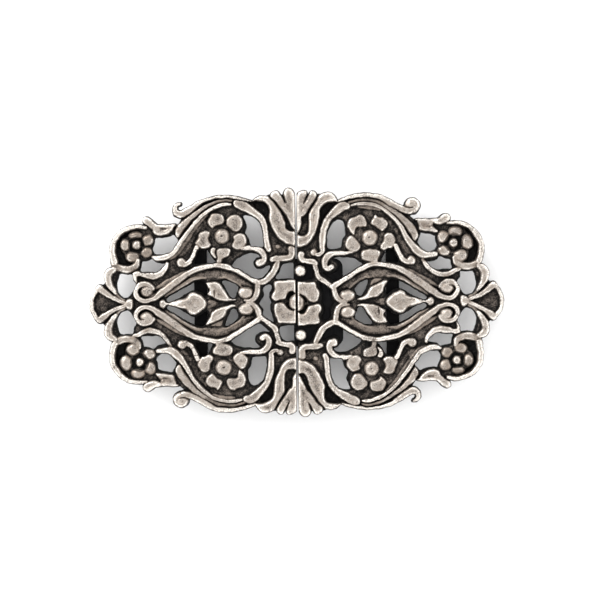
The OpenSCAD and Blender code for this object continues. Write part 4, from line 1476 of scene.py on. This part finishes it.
class Graph:
    """Material under construction: adds nodes with their values and links in one call."""

    def __init__(self, name: str) -> None:
        """Starts an empty material with its output and shader.

        Args:
            name: Name of the material.
        """
        self.material = bpy.data.materials.new(name)
        self.material.use_nodes = True
        self.tree = self.material.node_tree
        self.tree.nodes.clear()
        self.output = self.tree.nodes.new("ShaderNodeOutputMaterial")
        self.shader = self.tree.nodes.new("ShaderNodeBsdfPrincipled")
        self.tree.links.new(self.shader.outputs[0], self.output.inputs["Surface"])

    def add(self, kind: str, inputs: dict[str | int, object], **settings: object) -> bpy.types.Node:
        """Adds a node.

        Args:
            kind: Blender's name of the node type, without its prefix.
            inputs: Value or socket for each input, by name or number.
            settings: Properties of the node.

        Returns:
            The node.
        """
        node = self.tree.nodes.new("ShaderNode" + kind)
        for name, value in settings.items():
            setattr(node, name, value)
        for name, value in inputs.items():
            self.put(node.inputs[name], value)
        return node

    def put(self, socket: bpy.types.NodeSocket, value: object) -> None:
        """Links a socket to an input, or sets the input's value.

        Args:
            socket: The input.
            value: The socket or value for it.
        """
        if isinstance(value, bpy.types.NodeSocket):
            self.tree.links.new(value, socket)
        else:
            socket.default_value = value

    def surface(self, **values: object) -> None:
        """Puts values or sockets into the shader's inputs.

        Args:
            values: One for each input, under the input's name in small letters joined by underscores.
        """
        inputs = {socket.name.lower().replace(" ", "_"): socket for socket in self.shader.inputs}
        for name, value in values.items():
            self.put(inputs[name], value)

    def place(self) -> bpy.types.NodeSocket:
        """Object coordinates, in millimetres.

        Returns:
            The socket.
        """
        coordinates = self.add("TexCoord", {})
        inputs = {0: coordinates.outputs["Object"], "Scale": 1 / MM}
        return self.add("VectorMath", inputs, operation="SCALE").outputs[0]

    def attribute(self, name: str) -> bpy.types.NodeSocket:
        """Value of the mesh's attribute of that name."""
        return self.add("Attribute", {}, attribute_name=name).outputs["Fac"]

    def noise(self, place: bpy.types.NodeSocket, size: float, detail: float = 2.0) -> bpy.types.NodeSocket:
        """Noise whose lumps are about size millimetres across."""
        inputs = {"Vector": place, "Scale": 1 / size, "Detail": detail, "Roughness": 0.65}
        return self.add("TexNoise", inputs).outputs["Fac"]

    def ramp(self, value: bpy.types.NodeSocket, source: Span,
             target: Span = (0.0, 1.0)) -> bpy.types.NodeSocket:
        """Value carried from one range to another by a soft step, held at its ends.

        Args:
            value: The value.
            source: Range that it comes from.
            target: Range that it is carried to.

        Returns:
            The socket of the new value.
        """
        inputs = {"Value": value, "From Min": source[0], "From Max": source[1],
                  "To Min": target[0], "To Max": target[1]}
        return self.add("MapRange", inputs, interpolation_type="SMOOTHSTEP").outputs[0]

    def sum(self, *terms: tuple[bpy.types.NodeSocket, float]) -> bpy.types.NodeSocket:
        """Sum of sockets, each times its weight.

        Args:
            terms: The sockets and their weights.

        Returns:
            The socket of the sum.
        """
        total: bpy.types.NodeSocket | float = 0.0
        for socket, weight in terms:
            total = self.add("Math", {0: socket, 1: weight, 2: total}, operation="MULTIPLY_ADD").outputs[0]
        return total

    def mix(self, share: bpy.types.NodeSocket, first: object, second: object) -> bpy.types.NodeSocket:
        """Colour between the first and the second, each a colour or a socket, by share."""
        return self.add("Mix", {0: share, 6: first, 7: second}, data_type="RGBA").outputs[2]

    def bump(self, height: bpy.types.NodeSocket, distance: float, strength: float) -> None:
        """Bumps the surface by height times distance, in millimetres."""
        inputs = {"Height": height, "Distance": distance * MM, "Strength": strength}
        self.surface(normal=self.add("Bump", inputs).outputs[0])


@dataclass(frozen=True)
class AntiqueSilver:
    """Worn silver plate with black patina in its hollows, and painted shade round its raised forms.

    Attributes:
        bright: Colour of rubbed edges.
        warm: Colour where the plate isn't rubbed, faintly tarnished.
        brown: Colour of thin patina and of light painted shade.
        black: Colour of thick patina and of deep painted shade.
        speck_size: Size of the fine noise, in millimetres.
        mottle_size: Size of the coarse noise, in millimetres.
        thin: Stain at which thin patina and painted shade start and are full.
        thick: Stain at which it starts to blacken and is black.
        rubbed: Rubbing at which the bright silver starts and is full.
        metallic: Metallic value of the silver and of the patina.
        roughness: Roughness of the silver and of the patina.
        specular: Specular level.
        grain: Depth of the bumps, in millimetres, and their strength.
    """

    bright: Colour = (0.85, 0.797, 0.732, 1)
    warm: Colour = (0.262, 0.216, 0.178, 1)
    brown: Colour = (0.125, 0.104, 0.089, 1)
    black: Colour = (0.0045, 0.004, 0.0035, 1)
    speck_size: float = 0.18
    mottle_size: float = 0.9
    thin: Span = (1.5, 2.15)
    thick: Span = (1.95, 2.6)
    rubbed: Span = (0.9, 1.65)
    metallic: Span = (0.75, 0.4)
    roughness: Span = (0.3, 0.6)
    specular: float = 0.2
    grain: Span = (0.09, 0.6)

    def build(self) -> bpy.types.Material:
        """Mixes the colours by the casting's patina, painted shade and wear, broken up by noise.

        Returns:
            The material.
        """
        graph = Graph("antique_silver")
        place = graph.place()
        speck = graph.noise(place, self.speck_size, 5.0)
        mottle = graph.noise(place, self.mottle_size, 4.0)
        # the patina attribute holds the painted shade round raised forms as well as the patina
        stain = graph.sum((graph.attribute("patina_and_shade"), 1.0), (speck, 2.5), (mottle, 0.8))
        thin, thick = graph.ramp(stain, self.thin), graph.ramp(stain, self.thick)
        rubbing = graph.sum((graph.attribute("wear"), 1.0), (mottle, 0.9), (speck, 0.6))
        silver = graph.mix(graph.ramp(rubbing, self.rubbed), self.warm, self.bright)
        # dark colour of the patina and of the painted shade
        patina_and_shade = graph.mix(thick, self.brown, self.black)
        graph.surface(
            base_color=graph.mix(thin, silver, patina_and_shade),
            metallic=graph.ramp(thin, (0.0, 1.0), self.metallic),
            roughness=graph.ramp(thin, (0.0, 1.0), self.roughness),
            specular_ior_level=self.specular,
        )
        graph.bump(graph.sum((speck, 0.6), (mottle, 0.8)), *self.grain)
        return graph.material


@dataclass(frozen=True)
class DarkSteel:
    """Dark brushed steel of the straps and the hook plate.

    Attributes:
        dark: Darker colour of the metal.
        light: Lighter colour of the metal.
        stretch: Length of the brush lines over their width, along Y.
        streak_size: Width of the brush lines, in millimetres.
        cloud_size: Size of the broad clouds, in millimetres.
        tone: Noise at which the colour is darkest and lightest.
        metallic: Metallic value.
        streaked: Noise of the brush lines at which the roughness is least and most.
        roughness: Least and most roughness.
        grain: Depth of the brush lines, in millimetres, and their strength.
    """

    dark: Colour = (0.003, 0.003, 0.0033, 1)
    light: Colour = (0.013, 0.0125, 0.013, 1)
    stretch: float = 12.0
    streak_size: float = 0.15
    cloud_size: float = 1.5
    tone: Span = (0.35, 0.7)
    metallic: float = 0.9
    streaked: Span = (0.3, 0.7)
    roughness: Span = (0.35, 0.55)
    grain: Span = (0.02, 0.5)

    def build(self) -> bpy.types.Material:
        """Streaks the metal with noise drawn out along Y.

        Returns:
            The material.
        """
        graph = Graph("dark_steel")
        place = graph.place()
        drawn = graph.add("Mapping", {"Vector": place, "Scale": (1, 1 / self.stretch, 1)}).outputs[0]
        streak = graph.noise(drawn, self.streak_size)
        cloud = graph.noise(place, self.cloud_size)
        tone = graph.ramp(graph.sum((streak, 0.7), (cloud, 0.3)), self.tone)
        graph.surface(
            base_color=graph.mix(tone, self.dark, self.light),
            metallic=self.metallic,
            roughness=graph.ramp(streak, self.streaked, self.roughness),
        )
        graph.bump(streak, *self.grain)
        return graph.material


@dataclass(frozen=True)
class RivetSilver:
    """Bright rivet heads, with painted shade darkening the foot of each dome.

    Attributes:
        bright: Colour of the silver, left at the dome's top by the painted shade at its foot.
        dull_stain_and_shade: Colour of stains and of the painted shade at the dome's foot.
        dome: Heights at which the painted shade is full at the dome's foot and gone at its top, in
            millimetres.
        foot: Painted shade at the dome's foot and at its top.
        stain_size: Size of the stains, in millimetres.
        scratch_size: Size of the scratches, in millimetres.
        stained: Stain and painted shade at which the dull colour starts and is full.
        metallic: Metallic value.
        scratched: Noise of the scratches at which the roughness is least and most.
        roughness: Least and most roughness.
        grain: Depth of the bumps, in millimetres, and their strength.
    """

    bright: Colour = (0.66, 0.61, 0.55, 1)
    dull_stain_and_shade: Colour = (0.05, 0.042, 0.037, 1)
    dome: Span = (5.1, 5.75)
    foot: Span = (0.55, 0.0)
    stain_size: float = 0.35
    scratch_size: float = 0.08
    stained: Span = (0.62, 0.9)
    metallic: float = 0.75
    scratched: Span = (0.3, 0.7)
    roughness: Span = (0.3, 0.5)
    grain: Span = (0.05, 0.5)

    def build(self) -> bpy.types.Material:
        """Mixes bright and dull by height, as painted shade at the dome's foot, and by fine noise, as
        stains.

        Returns:
            The material.
        """
        graph = Graph("rivet_silver")
        place = graph.place()
        height = graph.add("SeparateXYZ", {0: place}).outputs["Z"]
        stain, scratch = graph.noise(place, self.stain_size), graph.noise(place, self.scratch_size)
        # painted shade: darkens the dome's foot and leaves its top bright, by height
        foot = graph.ramp(height, self.dome, self.foot)
        dull_stain_and_shade = graph.ramp(graph.sum((stain, 1.2), (foot, 1.0)), self.stained)
        graph.surface(
            base_color=graph.mix(dull_stain_and_shade, self.bright, self.dull_stain_and_shade),
            metallic=self.metallic,
            roughness=graph.ramp(scratch, self.scratched, self.roughness),
        )
        graph.bump(stain, *self.grain)
        return graph.material


@dataclass(frozen=True)
class Fittings:
    """Straps, hook plate, catch and studs: CAD nodes that keep their shape and get their finish.

    Attributes:
        steel_nodes: Nodes of dark steel.
        stud_nodes: Nodes of bright silver.
    """

    steel_nodes: tuple[str, ...] = ("left_ribbon_bar", "right_ribbon_bar", "hook_plate", "catch_loop")
    stud_nodes: tuple[str, ...] = ("upper_stud", "lower_stud")

    def dress(self) -> None:
        """Gives each node its material."""
        steel, silver = DarkSteel().build(), RivetSilver().build()
        for names, material in ((self.steel_nodes, steel), (self.stud_nodes, silver)):
            for name in names:
                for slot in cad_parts[name].material_slots:
                    slot.material = material
                LOG.info("%s: %s", name, material.name)


@dataclass(frozen=True)
class Studio:
    """White table, soft light and the camera straight above.

    Attributes:
        view_width: Width of the picture at the ornament, in millimetres.
        lens: Focal length, in millimetres.
        sensor: Width of the camera's sensor, in millimetres.
        clip: Nearest and farthest distance that the camera sees, in metres.
        aim: Point of the clasp at the picture's centre, in millimetres.
        roll: Turn of the camera about its axis, in degrees.
        table_size: Side of the table top, in millimetres.
        paper: Two shades of the table top.
        paper_grain: Size of the patches of these shades, in millimetres.
        paper_rough: Roughness of the table top.
        paper_specular: Its specular level.
        tent: Sine of the height looked up to, and the brightness of the light tent there, one row each.
        tent_strength: Strength that all of it is multiplied by.
        key_place: Place of the square soft light, in millimetres.
        key_size: Its side, in millimetres.
        key_power: Its power, in watts.
    """

    view_width: float = 101.2
    lens: float = 140.0
    sensor: float = 36.0
    clip: Span = (0.01, 10.0)
    aim: Place = (0.561, 0.416, 6.2)
    roll: float = -0.55
    table_size: float = 1200.0
    paper: tuple[Colour, Colour] = ((0.9, 0.9, 0.9, 1), (0.93, 0.93, 0.93, 1))
    paper_grain: float = 0.6
    paper_rough: float = 0.9
    paper_specular: float = 0.1
    tent: Rows = ((0.0, 0.9), (0.3, 1.0), (0.48, 0.85), (0.66, 0.55), (0.84, 0.4), (1.0, 0.45))
    tent_strength: float = 2.7
    key_place: Place = (-420.0, 420.0, 420.0)
    key_size: float = 400.0
    key_power: float = 2.6

    def build(self) -> None:
        """Sets up the table, the lights and the camera."""
        self.table()
        self.sky()
        self.key_light()
        self.camera()

    def table(self) -> None:
        """White table top at the clasp's lowest point."""
        half = self.table_size / 2 * MM
        mesh = bpy.data.meshes.new("table")
        mesh.from_pydata([(-half, -half, 0), (half, -half, 0), (half, half, 0), (-half, half, 0)], [],
                         [(0, 1, 2, 3)])
        top = bpy.data.objects.new("table", mesh)
        bpy.context.scene.collection.objects.link(top)
        graph = Graph("white_paper")
        graph.surface(
            base_color=graph.mix(graph.noise(graph.place(), self.paper_grain), *self.paper),
            roughness=self.paper_rough,
            specular_ior_level=self.paper_specular,
        )
        mesh.materials.append(graph.material)

    def sky(self) -> None:
        """Light tent, bright at its walls and dimmer overhead."""
        world = bpy.data.worlds.new("studio")
        world.use_nodes = True
        nodes, links = world.node_tree.nodes, world.node_tree.links
        direction = nodes.new("ShaderNodeTexCoord")
        parts = nodes.new("ShaderNodeSeparateXYZ")
        tent = nodes.new("ShaderNodeValToRGB")
        links.new(direction.outputs["Generated"], parts.inputs[0])
        links.new(parts.outputs["Z"], tent.inputs["Fac"])
        links.new(tent.outputs["Color"], nodes["Background"].inputs["Color"])
        nodes["Background"].inputs["Strength"].default_value = self.tent_strength
        stops = tent.color_ramp.elements
        for _ in range(len(self.tent) - len(stops)):
            stops.new(0.5)
        for stop, (height, glow) in zip(stops, self.tent):
            stop.position = height
            stop.color = (glow, glow, glow, 1)
        bpy.context.scene.world = world

    def key_light(self) -> None:
        """Square soft light that faces the clasp."""
        light = bpy.data.lights.new("key_light", "AREA")
        light.size = self.key_size * MM
        light.energy = self.key_power
        lamp = bpy.data.objects.new("key_light", light)
        lamp.location = Vector(self.key_place) * MM
        lamp.rotation_euler = (-lamp.location).to_track_quat("-Z", "Y").to_euler()
        bpy.context.scene.collection.objects.link(lamp)

    def camera(self) -> None:
        """Camera straight above its aim, at the distance that gives the picture its width."""
        data = bpy.data.cameras.new("camera")
        data.lens, data.sensor_width = self.lens, self.sensor
        data.clip_start, data.clip_end = self.clip
        distance = self.view_width * self.lens / self.sensor
        camera = bpy.data.objects.new("camera", data)
        camera.location = (self.aim[0] * MM, self.aim[1] * MM, (self.aim[2] + distance) * MM)
        camera.rotation_euler = (0, 0, math.radians(self.roll))
        bpy.context.scene.collection.objects.link(camera)
        bpy.context.scene.camera = camera


def main() -> None:
    """Builds the clasp and its studio."""
    logging.basicConfig(level=logging.INFO, format="%(name)s %(message)s")
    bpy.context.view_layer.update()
    silver = AntiqueSilver().build()
    Casting("left_casting", turned=True, seed=11).build(silver)
    Casting("right_casting", turned=False, seed=23).build(silver)
    Fittings().dress()
    Studio().build()
    bpy.context.scene.view_settings.view_transform = "Standard"


if __name__ == "__main__":
    main()
